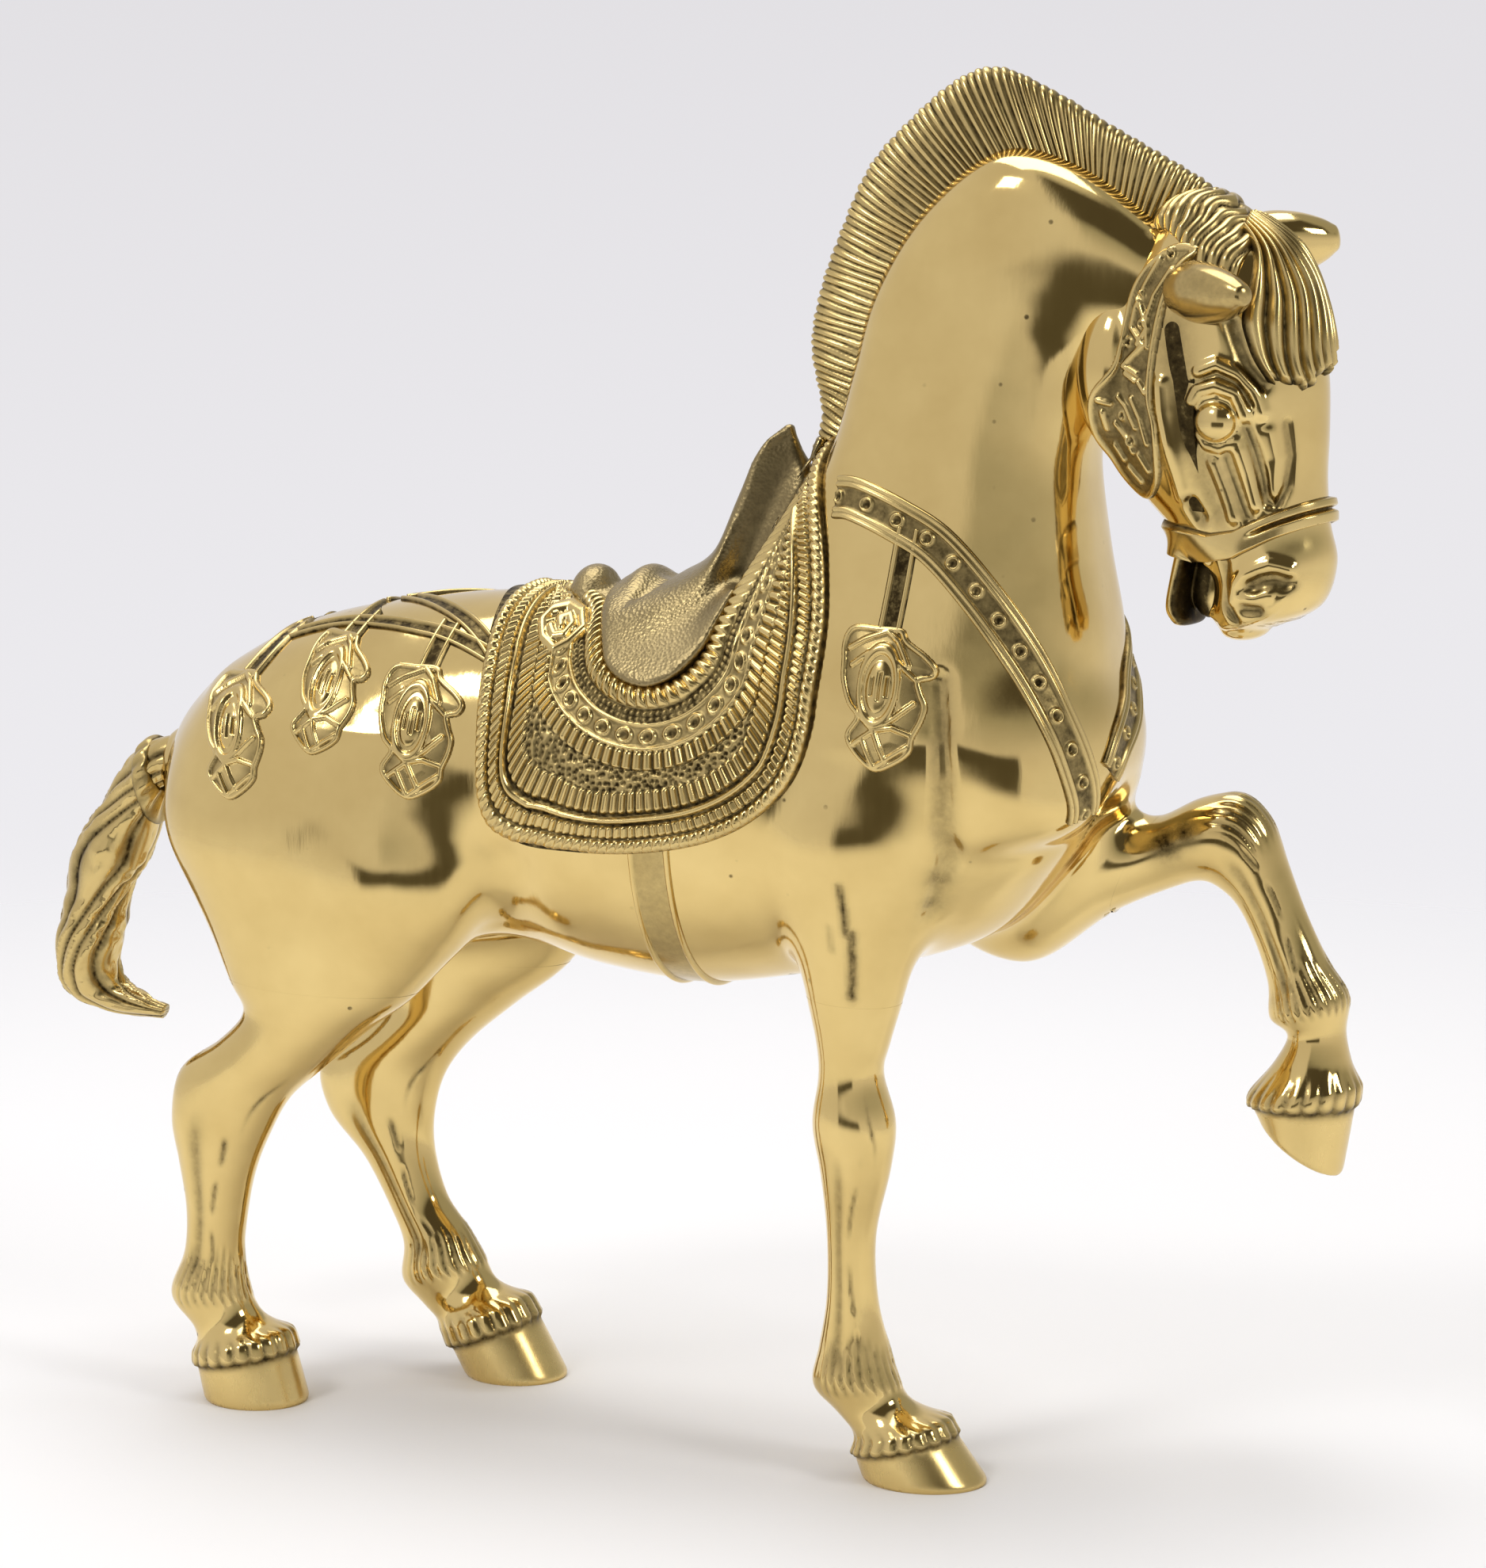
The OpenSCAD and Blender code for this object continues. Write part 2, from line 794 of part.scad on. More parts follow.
module saddle_cloth() {
    color(worked)
        casting() {
            difference() {
                intersection() {
                    skin(cloth_t);
                    cloth_prism();
                }
                intersection() {
                    skin(cloth_t, cloth_t * (1 - field_share));
                    through_prism() cloth_field();
                }
            }
            intersection() {
                skin(cloth_t / 2 + ridge_t, cloth_t / 2);
                through_prism() cloth_ridges();
            }
        }
}

// Rounded lobe of the cantle
module lobe(place, size) {
    translate([along(place[0]), across(place[1]), up(place[2])])
        scale(size)
            sphere(r = 1, $fn = lobe_sides);
}

module saddle() {
    color(satin)
        casting()
            difference() {
                union() {
                    translate([0, 0, cloth_t]) {
                        loft(seat_path, limb_sides);
                        for (l = cantle_lobes)
                            lobe(l[0], l[1]);
                    }
                    intersection() {
                        skin(flap_t, cloth_t);
                        through_prism() polygon(flat(flap_outline));
                    }
                }
                body_form(cloth_t);
            }
}

module girth() {
    color(polished)
        casting()
            difference() {
                intersection() {
                    skin(girth_t);
                    translate([along(girth_x) - girth_w / 2, -beyond, 0])
                        cube([girth_w, 2 * beyond, leg_h + trunk_h / 2]);
                }
                cloth_prism();
            }
}

// Prism of the breast collar's line on one side, seen from the front quarter
module collar_prism(side) {
    line = [for (q = collar_lines[side]) [(along(q[0]) + across(q[1])) / sqrt(2), up(q[2])]];
    on_side(side)
        rotate([0, 0, 45])
            rotate([90, 0, 0])
                linear_extrude(beyond)
                    polygon(strip(line, collar_w));
}

// Where the strap of one side may lie: on its own side, the left one also across the chest
module collar_space(side) {
    half_space(side);
    if (side == left)
        translate([along(collar_front), -beyond, 0]) cube(2 * beyond);
}

module breast_collar() {
    color(worked)
        casting()
            difference() {
                for (side = [right, left])
                    intersection() {
                        skin(collar_t);
                        collar_space(side);
                        collar_prism(side);
                    }
                cloth_prism();
            }
}

// Strap and plate of one tassel on one side
module tassel_skin(side, points) {
    drawn = flat(points);
    strap_end = drawn[1] + (drawn[2] - drawn[1]) * strap_overlap;
    intersection() {
        skin(tassel_t);
        side_prism(side) {
            polygon(strip([drawn[0], drawn[1], strap_end], drop_w));
            polygon(tassel_outline(drawn[1], drawn[2]));
        }
    }
}

module shoulder_tassel(side) {
    color(worked)
        casting()
            difference() {
                tassel_skin(side, shoulder_tassel);
                collar_prism(side);
                cloth_prism();
            }
}

module crupper_prism() {
    for (side = [right, left])
        on_side(side)
            translate([0, 0, leg_h + trunk_h / 2])
                linear_extrude(beyond) {
                    polygon(strip(above(crupper_line), crupper_w));
                    polygon(strip(above(croup_line), crupper_w));
                }
}

module crupper_straps() {
    color(worked)
        casting()
            difference() {
                intersection() {
                    skin(crupper_t);
                    crupper_prism();
                }
                cloth_prism();
            }
}

// Everything inside the outer edge of the crupper straps, and behind them
module croup_prism() {
    edge = strip(above(crupper_line), crupper_w);
    last = len(crupper_line) - 1;
    outer = part_of(edge, 0, last);
    for (side = [right, left])
        on_side(side)
            linear_extrude(beyond)
                polygon(concat(outer, [[-beyond, outer[last][1]], [-beyond, 0], [outer[0][0], 0]]));
}

module rump_tassel(side, i) {
    color(worked)
        casting()
            difference() {
                tassel_skin(side, rump_tassels[i]);
                croup_prism();
                cloth_prism();
            }
}

body_half(right);  // body_right_half
body_half(left);  // body_left_half
head();
ear(right);  // right_ear
ear(left);  // left_ear
mane();
forelock();
leg(right_fore_path, fore_joint);  // right_fore_leg
leg(left_fore_path, raised_joint);  // left_fore_leg
leg(right_hind_path, hind_joint);  // right_hind_leg
leg(left_hind_path, hind_joint);  // left_hind_leg
tail();
dock_band();
saddle_cloth();
saddle();
girth();
breast_collar();
shoulder_tassel(right);  // shoulder_tassel_right
shoulder_tassel(left);  // shoulder_tassel_left
crupper_straps();
rump_tassel(right, 0);  // rump_tassel_front_right
rump_tassel(right, 1);  // rump_tassel_middle_right
rump_tassel(right, 2);  // rump_tassel_rear_right
rump_tassel(left, 0);  // rump_tassel_front_left
rump_tassel(left, 1);  // rump_tassel_middle_left
rump_tassel(left, 2);  // rump_tassel_rear_left
noseband();
cheekpiece(right);  // cheekpiece_right
cheekpiece(left);  // cheekpiece_left
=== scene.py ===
import math

import bpy
import numpy as np
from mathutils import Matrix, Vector


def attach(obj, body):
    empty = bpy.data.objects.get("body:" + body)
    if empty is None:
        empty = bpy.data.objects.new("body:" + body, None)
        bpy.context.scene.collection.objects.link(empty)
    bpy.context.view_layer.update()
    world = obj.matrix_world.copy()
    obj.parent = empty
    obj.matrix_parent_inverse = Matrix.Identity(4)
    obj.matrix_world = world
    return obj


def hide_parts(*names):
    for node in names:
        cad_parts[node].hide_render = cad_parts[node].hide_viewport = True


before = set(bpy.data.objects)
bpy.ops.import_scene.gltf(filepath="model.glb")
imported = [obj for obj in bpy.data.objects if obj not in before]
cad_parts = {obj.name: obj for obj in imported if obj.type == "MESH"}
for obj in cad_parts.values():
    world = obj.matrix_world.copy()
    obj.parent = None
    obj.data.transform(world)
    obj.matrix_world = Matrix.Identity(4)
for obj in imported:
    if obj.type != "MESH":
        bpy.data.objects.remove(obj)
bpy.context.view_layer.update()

# Lengths below are in millimetres, in the frame of the stations, which lies this far ahead of the row frame
MM = 0.001
DRAWN_MIDDLE = 3.2
HEAD_TURN = math.radians(12)
POLL_X = 122
RIGHT, LEFT = -1, 1


# Fields: a form is a grid of distances to its skin, negative inside

class Grid:
    """Even grid of places that a field is sampled at."""

    def __init__(self, low, high, pitch):
        self.low = np.array(low, float)
        self.pitch = pitch
        counts = np.ceil((np.array(high) - self.low) / pitch).astype(int) + 1
        self.x, self.y, self.z = (self.low[k] + pitch * np.arange(counts[k]) for k in range(3))
        self.shape = tuple(counts)


def smoothed(stations, steps):
    """Smooth curve through a list of stations."""
    p = np.array(stations, float)
    last = len(p) - 1
    i = np.repeat(np.arange(last), steps)
    t = np.tile(np.arange(steps) / steps, last)[:, None]
    a, b, c, d = p[np.maximum(i - 1, 0)], p[i], p[i + 1], p[np.minimum(i + 2, last)]
    curve = (2 * b + (c - a) * t + (2 * a - 5 * b + 4 * c - d) * t**2 + (3 * b - a - 3 * c + d) * t**3) / 2
    return np.vstack([curve, p[last]])


def lengths(line):
    """Length along a line at each of its points."""
    return np.concatenate([[0], np.cumsum(np.linalg.norm(np.diff(line, axis=0), axis=1))])


def picked(places, far, rows):
    """Rows at given lengths along a line whose lengths are far."""
    return np.stack([np.interp(places, far, rows[:, k]) for k in range(rows.shape[1])], 1)


class Limb:
    """Limb lofted through oval sections: [front x, front z, back x, back z, middle y, half width].

    A power above 2 makes the sections flatter at their sides."""

    def __init__(self, stations, steps=6, power=2):
        s = smoothed(stations, steps)
        self.steps, self.power = steps, power
        self.middle = np.stack([(s[:, 0] + s[:, 2]) / 2, (s[:, 1] + s[:, 3]) / 2], 1)
        reach = np.stack([(s[:, 0] - s[:, 2]) / 2, (s[:, 1] - s[:, 3]) / 2], 1)
        self.depth = np.linalg.norm(reach, axis=1)
        self.axis = reach / self.depth[:, None]
        self.side = s[:, 4]
        self.width = s[:, 5]
        normal = np.stack([-self.axis[:, 1], self.axis[:, 0]], 1)
        ahead = (np.diff(self.middle, axis=0) * normal[:-1]).sum()
        self.normal = normal * np.sign(ahead)

    def beyond(self, i, x, z):
        """Distance past section i, along the limb."""
        return (x - self.middle[i, 0]) * self.normal[i, 0] + (z - self.middle[i, 1]) * self.normal[i, 1]

    def sections(self, x, z):
        """Section through each place in the side view: offset, depth, width, middle y, overshoot, station."""
        x, z = np.meshgrid(x, z, indexing="ij")
        found = np.zeros((6,) + x.shape)
        score = np.full(x.shape, np.inf)
        last = len(self.depth) - 1

        def keep(where, i, j, u, over):
            mix = lambda v: v[i] + (v[j] - v[i]) * u
            axis = [mix(self.axis[:, k]) for k in (0, 1)]
            middle = [mix(self.middle[:, k]) for k in (0, 1)]
            size = np.hypot(*axis)
            offset = ((x[where] - middle[0]) * axis[0] + (z[where] - middle[1]) * axis[1]) / size
            depth = mix(self.depth)
            rank = np.abs(offset) / depth + over / depth
            better = rank < score[where]
            spot = tuple(c[better] for c in np.nonzero(where))
            score[spot] = rank[better]
            rows = (offset, depth, mix(self.width), mix(self.side), over, (i + u) / self.steps)
            for k, row in enumerate(rows):
                found[(k,) + spot] = row[better]

        g = self.beyond(0, x, z)
        where = g < 0
        keep(where, 0, 0, np.zeros(where.sum()), -g[where])
        for i in range(last):
            g0, g1 = g, self.beyond(i + 1, x, z)
            where = (g0 >= 0) & (g1 < 0)
            if where.any():
                u = g0[where] / (g0[where] - g1[where])
                keep(where, i, i + 1, u, 0 * u)
            g = g1
        where = g >= 0
        keep(where, last, last, np.zeros(where.sum()), g[where])
        return found

    def field(self, grid, cap=None):
        """Distance to the limb, with round ends of the given share of the section, or flat ones."""
        offset, depth, width, side, over, station = (
            v[:, None, :].astype(np.float32) for v in self.sections(grid.x, grid.z))
        dy = grid.y[None, :, None].astype(np.float32) - side
        extra = 0 if cap is None else over / (cap * np.minimum(depth, width))
        p, long, wide = self.power, np.abs(offset / depth), np.abs(dy / width)
        k0 = (long**p + wide**p + extra**p) ** (1 / p)
        k1 = np.sqrt((long ** (p - 1) / depth) ** 2 + (wide ** (p - 1) / width) ** 2
                     + (extra**p / np.maximum(over, 1e-3)) ** 2)
        far = k0 ** (p - 1) * (k0 - 1) / np.maximum(k1, 1e-4)
        far = np.where(k0 < 0.05, -np.minimum(depth, width) + 0 * far, far)
        if cap is None:
            far = np.where(over > 0, np.maximum(far, over), far)
        self.station = station[:, 0, :]
        self.turn = np.arctan2(dy / width, offset / depth)
        return far


def rising(low, high, x):
    """Soft step from 0 at low to 1 at high."""
    t = np.clip((x - low) / (high - low), 0, 1)
    return t * t * (3 - 2 * t)


def window(low, full, fall, end, x):
    """Soft step up from low to full, and down again from fall to end."""
    return rising(low, full, x) * (1 - rising(fall, end, x))


def bell(x, half):
    """Soft bump round 0, down to about a third at half."""
    return np.exp(-((x / half) ** 2))


def joined(a, b, blend):
    """Union of two fields with a soft fillet."""
    h = np.maximum(blend - np.abs(a - b), 0) / blend
    return np.minimum(a, b) - h * h * blend / 4


def near_line(x, y, z, line):
    """Distance from places to a line of points."""
    best = np.full(np.broadcast(x, y, z).shape, np.inf)
    line = np.array(line, float)
    for a, b in zip(line[:-1], line[1:]):
        d = b - a
        t = ((x - a[0]) * d[0] + (y - a[1]) * d[1] + (z - a[2]) * d[2]) / max(d @ d, 1e-9)
        t = np.clip(t, 0, 1)
        far = (x - a[0] - t * d[0]) ** 2 + (y - a[1] - t * d[1]) ** 2 + (z - a[2] - t * d[2]) ** 2
        best = np.minimum(best, far)
    return np.sqrt(best)


# Reach of a pressed line, in its radii
PRESS_REACH = 2.6


def press(grid, field, line, radius, height):
    """Raises the skin along a line, or sinks it where height is negative."""
    line = np.array(line, float)
    reach = PRESS_REACH * radius
    cut = []
    for k, axis in enumerate((grid.x, grid.y, grid.z)):
        lo, hi = np.searchsorted(axis, (line[:, k].min() - reach, line[:, k].max() + reach))
        cut.append(slice(lo, max(hi, lo + 1)))
    x, y, z = grid.x[cut[0]][:, None, None], grid.y[cut[1]][None, :, None], grid.z[cut[2]][None, None, :]
    field[tuple(cut)] -= height * bell(near_line(x, y, z, line), radius)


def oval(grid, middle, half):
    """Distance to an ellipsoid."""
    axes = (grid.x[:, None, None], grid.y[None, :, None], grid.z[None, None, :])
    x, y, z = (a - m for a, m in zip(axes, middle))
    k0 = np.sqrt((x / half[0]) ** 2 + (y / half[1]) ** 2 + (z / half[2]) ** 2)
    k1 = np.sqrt((x / half[0] ** 2) ** 2 + (y / half[1] ** 2) ** 2 + (z / half[2] ** 2) ** 2)
    return k0 * (k0 - 1) / np.maximum(k1, 1e-4)


def both_sides(line):
    return [line, [(x, -y, z) for x, y, z in line]]


def blurred(field, rounds):
    """Field with its small creases smoothed away."""
    for _ in range(rounds):
        for axis in range(3):
            f = np.swapaxes(field, 0, axis)
            g = f.copy()
            g[1:-1] = (f[:-2] + 2 * f[1:-1] + f[2:]) / 4
            field = np.swapaxes(g, 0, axis)
    return np.ascontiguousarray(field)


def sample(grid, field, p):
    """Field at any places."""
    q = (p - grid.low) / grid.pitch
    i = np.clip(np.floor(q).astype(int), 0, np.array(field.shape) - 2)
    f = np.clip(q - i, 0, 1)
    total = np.zeros(len(p))
    for corner in np.ndindex(2, 2, 2):
        share = np.prod(np.where(corner, f, 1 - f), axis=1)
        total += share * field[i[:, 0] + corner[0], i[:, 1] + corner[1], i[:, 2] + corner[2]]
    return total


def slope(grid, field, p):
    """Outward direction of a field at any places."""
    d = np.stack([sample(grid, field, p + e) - sample(grid, field, p - e) for e in np.eye(3) * grid.pitch], 1)
    return d / np.maximum(np.linalg.norm(d, axis=1, keepdims=True), 1e-9)


def surface_net(grid, field):
    """Points and quads of a field's skin: one point in each cell that the skin crosses."""
    inside = field < 0
    cells = tuple(n - 1 for n in field.shape)
    corners = list(np.ndindex(2, 2, 2))
    count = sum(inside[tuple(slice(c, c + n) for c, n in zip(k, cells))].astype(np.int8) for k in corners)
    cell = np.argwhere((count > 0) & (count < 8))
    number = np.full(cells, -1)
    number[tuple(cell.T)] = np.arange(len(cell))
    value = {k: field[tuple((cell + k).T)] for k in corners}
    total, hits = np.zeros((len(cell), 3)), np.zeros(len(cell))
    for k in corners:
        for axis in range(3):
            if k[axis]:
                continue
            m = tuple(1 if n == axis else k[n] for n in range(3))
            a, b = value[k], value[m]
            cross = (a < 0) != (b < 0)
            t = np.where(cross, a / np.where(cross, a - b, 1), 0)
            spot = np.tile(np.array(k, float), (len(cell), 1))
            spot[:, axis] = t
            total += spot * cross[:, None]
            hits += cross
    points = grid.low + grid.pitch * (cell + total / hits[:, None])
    quads = []
    for axis in range(3):
        u, v = (axis + 1) % 3, (axis + 2) % 3
        step = np.eye(3, dtype=int)
        core = [slice(1, n - 1) for n in field.shape]
        core[axis] = slice(0, field.shape[axis] - 1)
        ahead = list(core)
        ahead[axis] = slice(1, field.shape[axis])
        a, b = inside[tuple(core)], inside[tuple(ahead)]
        first = [1, 1, 1]
        first[axis] = 0
        for flip, cross in ((False, a & ~b), (True, ~a & b)):
            edge = np.argwhere(cross) + first
            ring = [edge, edge - step[u], edge - step[u] - step[v], edge - step[v]]
            quad = np.stack([number[tuple(r.T)] for r in ring], 1)
            quads.append(quad[:, ::-1] if flip else quad)
    return points, np.vstack(quads)


def neighbours_mean(points, quads):
    a = quads.ravel()
    b = np.roll(quads, -1, axis=1).ravel()
    n = len(points)
    count = np.bincount(a, minlength=n) + np.bincount(b, minlength=n)
    sums = [np.bincount(a, points[b, k], n) + np.bincount(b, points[a, k], n) for k in range(3)]
    return np.stack(sums, 1) / np.maximum(count, 1)[:, None]


def skin_of(grid, field, cuts=(), rounds=4):
    """Even mesh of a field's skin, cut off where a field of cuts is positive, and its smooth directions."""
    whole = field
    for cut in cuts:
        whole = np.maximum(whole, cut)
    points, quads = surface_net(grid, whole)
    for turn in range(rounds + 2):
        if turn < rounds:
            points = points + 0.6 * (neighbours_mean(points, quads) - points)
        far = sample(grid, whole, points)
        points = points - np.clip(far, -grid.pitch, grid.pitch)[:, None] * slope(grid, whole, points)
    for cut in cuts:
        for _ in range(3):
            rim = (np.abs(sample(grid, cut, points)) < 0.9 * grid.pitch)
            rim &= np.abs(sample(grid, field, points)) < 0.9 * grid.pitch
            for f in (cut, field):
                p = points[rim]
                points[rim] = p - sample(grid, f, p)[:, None] * slope(grid, f, p)
    direction = slope(grid, field, points)
    for cut in cuts:
        flat = (sample(grid, cut, points) > -0.05) & (sample(grid, field, points) < -0.4 * grid.pitch)
        direction[flat] = slope(grid, cut, points[flat])
    return points, quads, direction


def traced(grid, field, start, way, rounds=30):
    """Where rays from outside first meet a field's skin."""
    p = start.copy()
    way = way / np.linalg.norm(way, axis=-1, keepdims=True)
    for _ in range(rounds):
        p += way * np.clip(sample(grid, field, p), -1, 8)[:, None] * 0.8
    return p


# Meshes

def in_row(points):
    """Places in the row frame, in metres."""
    return (np.asarray(points) - (DRAWN_MIDDLE, 0, 0)) * MM


def turned(points):
    """Places of the straight head, turned with the head."""
    c, s = math.cos(-HEAD_TURN), math.sin(-HEAD_TURN)
    x, y, z = (points[..., k] for k in range(3))
    return np.stack([POLL_X + (x - POLL_X) * c - y * s, (x - POLL_X) * s + y * c, z], -1)


def spun(a, b, angle):
    """Two coordinates, turned by an angle."""
    c, s = math.cos(angle), math.sin(angle)
    return a * c - b * s, a * s + b * c


def turned_way(ways):
    """Directions of the straight head, turned with the head."""
    x, y = spun(ways[..., 0], ways[..., 1], -HEAD_TURN)
    return np.stack([x, y, ways[..., 2]], -1)


def add_piece(node, material, points, quads, normals=None, masks=None):
    """Mesh that rides on the body and stands for a CAD node."""
    mesh = bpy.data.meshes.new("brass_" + node)
    mesh.vertices.add(len(points))
    mesh.vertices.foreach_set("co", in_row(points).astype(np.float32).ravel())
    mesh.loops.add(quads.size)
    mesh.loops.foreach_set("vertex_index", quads.astype(np.int32).ravel())
    mesh.polygons.add(len(quads))
    mesh.polygons.foreach_set("loop_start", np.arange(0, quads.size, 4, dtype=np.int32))
    mesh.update(calc_edges=True)
    for key, values in (masks or {}).items():
        attribute = mesh.attributes.new(key, "FLOAT", "POINT")
        attribute.data.foreach_set("value", np.asarray(values, np.float32).ravel())
    mesh.validate()
    mesh.shade_smooth()
    if normals is not None and len(mesh.vertices) == len(points):
        mesh.normals_split_custom_set_from_vertices(normals)
    mesh.materials.append(material)
    piece = bpy.data.objects.new(mesh.name, mesh)
    bpy.context.scene.collection.objects.link(piece)
    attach(piece, "root")
    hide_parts(node)


def grid_quads(rows, columns, wrap=False):
    """Quads of a grid of points, rows by columns, closed round the columns if wrap."""
    i, j = np.meshgrid(np.arange(rows - 1), np.arange(columns if wrap else columns - 1), indexing="ij")
    a = i * columns + j
    b = i * columns + (j + 1) % columns
    return np.stack([a, b, b + columns, a + columns], -1).reshape(-1, 4)


def outward(points, quads):
    """Quads of a closed mesh, turned to face outward."""
    a, b, c, d = (points[quads[:, k]] for k in range(4))
    volume = (np.cross(b - a, c - a) * a).sum() + (np.cross(c - a, d - a) * a).sum()
    return quads if volume > 0 else quads[:, ::-1]


def closed_shell(top, bottom):
    """Points and quads of a plate between two grids of points."""
    rows, columns = top.shape[:2]
    n = rows * columns
    points = np.vstack([top.reshape(-1, 3), bottom.reshape(-1, 3)])
    faces = grid_quads(rows, columns)
    index = np.arange(n).reshape(rows, columns)
    rim = np.concatenate([index[0, :-1], index[:-1, -1], index[-1, :0:-1], index[:0:-1, 0]])
    after = np.roll(rim, -1)
    walls = np.stack([after, rim, rim + n, after + n], 1)
    return points, outward(points, np.vstack([faces, n + faces[:, ::-1], walls]))


# Forms: the stations of the part's limbs

trunk = Limb([
    [-124, 161, -124, 141, 0, 9], [-117, 170.5, -117, 128, 0, 23], [-104, 181.5, -104, 115, 0, 34],
    [-85, 190.5, -85, 111, 0, 39.5], [-60, 196, -60, 113, 0, 40], [-34, 199, -34, 116, 0, 37],
    [-9, 199, -9, 111, 0, 38], [16, 201, 16, 109, 0, 39], [41, 208, 41, 113, 0, 38],
    [66, 211, 66, 118, 0, 36.5], [86, 207, 86, 126, 0, 33], [99, 200, 99, 139, 0, 30],
    [107.5, 190, 107.5, 152, 0, 23], [110.5, 180, 110.5, 163, 0, 12]])
neck = Limb([
    [20, 196, 111, 168, 0, 34], [38, 220, 113, 192, 0, 30], [48, 240, 109.5, 215, 0, 25.5],
    [52, 256, 107.5, 234, 0, 22], [57, 274, 109, 246, 0, 19.5], [69, 293, 110, 254, 0, 17.5],
    [87, 306, 113, 259, 0, 16], [106, 302, 116, 261, 0, 15], [124, 290, 120, 262, 0, 13.5]], power=2.8)
breast = [
    [100, 196, 84, 194, 12, 7], [110, 184, 80, 180, 14, 14], [113.5, 170, 80, 166, 15, 16],
    [111, 155, 80, 152, 15, 15], [96, 148, 80, 144, 13, 6]]
breasts = [Limb([s[:4] + [s[4] * side, s[5]] for s in breast]) for side in (RIGHT, LEFT)]
right_fore = Limb([
    [92, 172, 46, 168, -20, 14], [86, 152, 42, 152, -23, 15.5], [79, 136, 43, 140, -24, 13.5],
    [73.5, 122, 45.5, 124, -24, 11.5], [70.5, 112, 48, 113, -24, 10], [67.5, 102, 50.5, 102, -24, 8.8],
    [66, 95, 51, 94, -24, 8.3], [69, 84, 49.5, 83, -24, 9.3], [68, 73, 51.5, 71, -24, 8],
    [64.5, 57, 53, 57, -24, 6.2], [65, 42, 53, 42, -24, 6.2], [67.5, 31, 51, 30, -23.5, 7.5],
    [70, 23, 49.5, 21, -23.5, 9], [73, 18, 55, 15, -23, 8], [81, 15, 61, 9, -23, 10.5],
    [83, 12, 60, 6, -23, 11.5], [92, 0, 62, 0, -23, 12.5]])
right_hind = Limb([
    [-37, 160, -103, 170, -19, 15], [-33, 138, -115, 145, -23.5, 17.5], [-38, 121, -107.5, 125, -25, 16],
    [-51, 105, -100, 106, -25, 14], [-64, 95, -96, 98, -25, 12], [-77, 84, -103, 90, -24.5, 10.5],
    [-86, 76, -114, 82, -24, 9.5], [-92, 66, -117, 70, -23.5, 9], [-96, 57, -115.5, 59, -23, 8],
    [-98.5, 47, -114, 47, -22.5, 7], [-100, 36, -115, 36, -22, 6.8], [-99, 27, -119, 25, -21.5, 8.5],
    [-96, 21, -113, 17, -21, 8], [-90, 18, -112, 12, -21, 10.5], [-88, 14, -112, 9, -21, 11.5],
    [-84, 0, -110, 0, -21, 12]])
left_hind = Limb([
    [-31, 160, -101, 170, 19, 15], [-22, 138, -110, 145, 23.5, 17.5], [-22, 121, -102, 125, 25, 16],
    [-34, 104, -91, 104, 25, 13.5], [-48, 93, -84, 93, 25, 11.5], [-60, 83, -88, 85, 24.5, 10.5],
    [-67, 74, -100, 75, 24, 9.5], [-70, 64, -98, 63, 23.5, 9], [-70, 54, -88, 52, 23, 8],
    [-66.5, 43, -81, 40, 22.5, 7], [-61, 36, -77, 31, 22, 7.5], [-56.5, 29, -77.5, 22, 22, 8.7],
    [-53, 23, -72, 16, 22, 8], [-46, 20, -66, 11, 22, 10.5], [-43, 16, -64, 7, 22, 11.5],
    [-34, 0, -60, 0, 22, 12]])
left_fore = Limb([
    [93, 172, 52, 161, 20, 14], [104, 160, 62, 125, 23, 15], [110, 152, 84, 113.5, 25, 13.5],
    [116, 150.5, 105, 127, 26, 10.5], [126, 155.5, 120, 134, 26, 9.3], [136, 157, 127, 136, 26, 9.3],
    [143, 151, 132, 134, 26, 8.7], [147, 141, 136, 130, 26, 7.5], [151.5, 130, 140, 122, 26, 6.5],
    [157, 119, 143, 113, 26, 7.2], [162, 111, 143.5, 105, 26, 9], [161.5, 102, 148, 101, 26, 7.3],
    [164, 91, 141, 89, 26, 10.8], [164, 87, 139.5, 85, 26, 11.5], [161, 68.5, 142, 81.5, 26, 11]])
tail_limb = Limb([
    [-120, 146, -118, 160, 0, 7], [-129, 146, -128, 159, 0, 7.5], [-133, 135, -140, 151, 0, 8.5],
    [-138, 124, -150, 137, 0, 9], [-142, 113, -157, 121, 0, 8.5], [-144, 103, -160, 106, 0, 8],
    [-143, 96, -158, 93, 0, 7], [-139, 93, -148, 88, 0, 5], [-131, 91, -132, 87.5, 0, 2.2]], 12)
skull = Limb([
    [142, 293, 124, 289, 0, 9], [155, 285, 116, 279, 0, 15], [161.5, 272, 110, 266, 0, 18],
    [164, 258, 108, 253, 0, 19.5], [164.5, 246, 111, 240, 0, 18.5], [164.5, 235, 120, 230, 0, 15.5],
    [165.5, 225, 129.5, 221, 0, 13.5], [167, 216, 139, 212, 0, 13.5], [163, 206, 139, 203.5, 0, 12.5],
    [151, 201, 141, 200.5, 0, 8]])
jaw = Limb([
    [140, 224, 131, 222, 0, 9.5], [134.4, 212, 129, 211, 0, 8.5], [133, 205, 127.8, 204, 0, 8],
    [134, 201.5, 129, 201, 0, 6.5]])

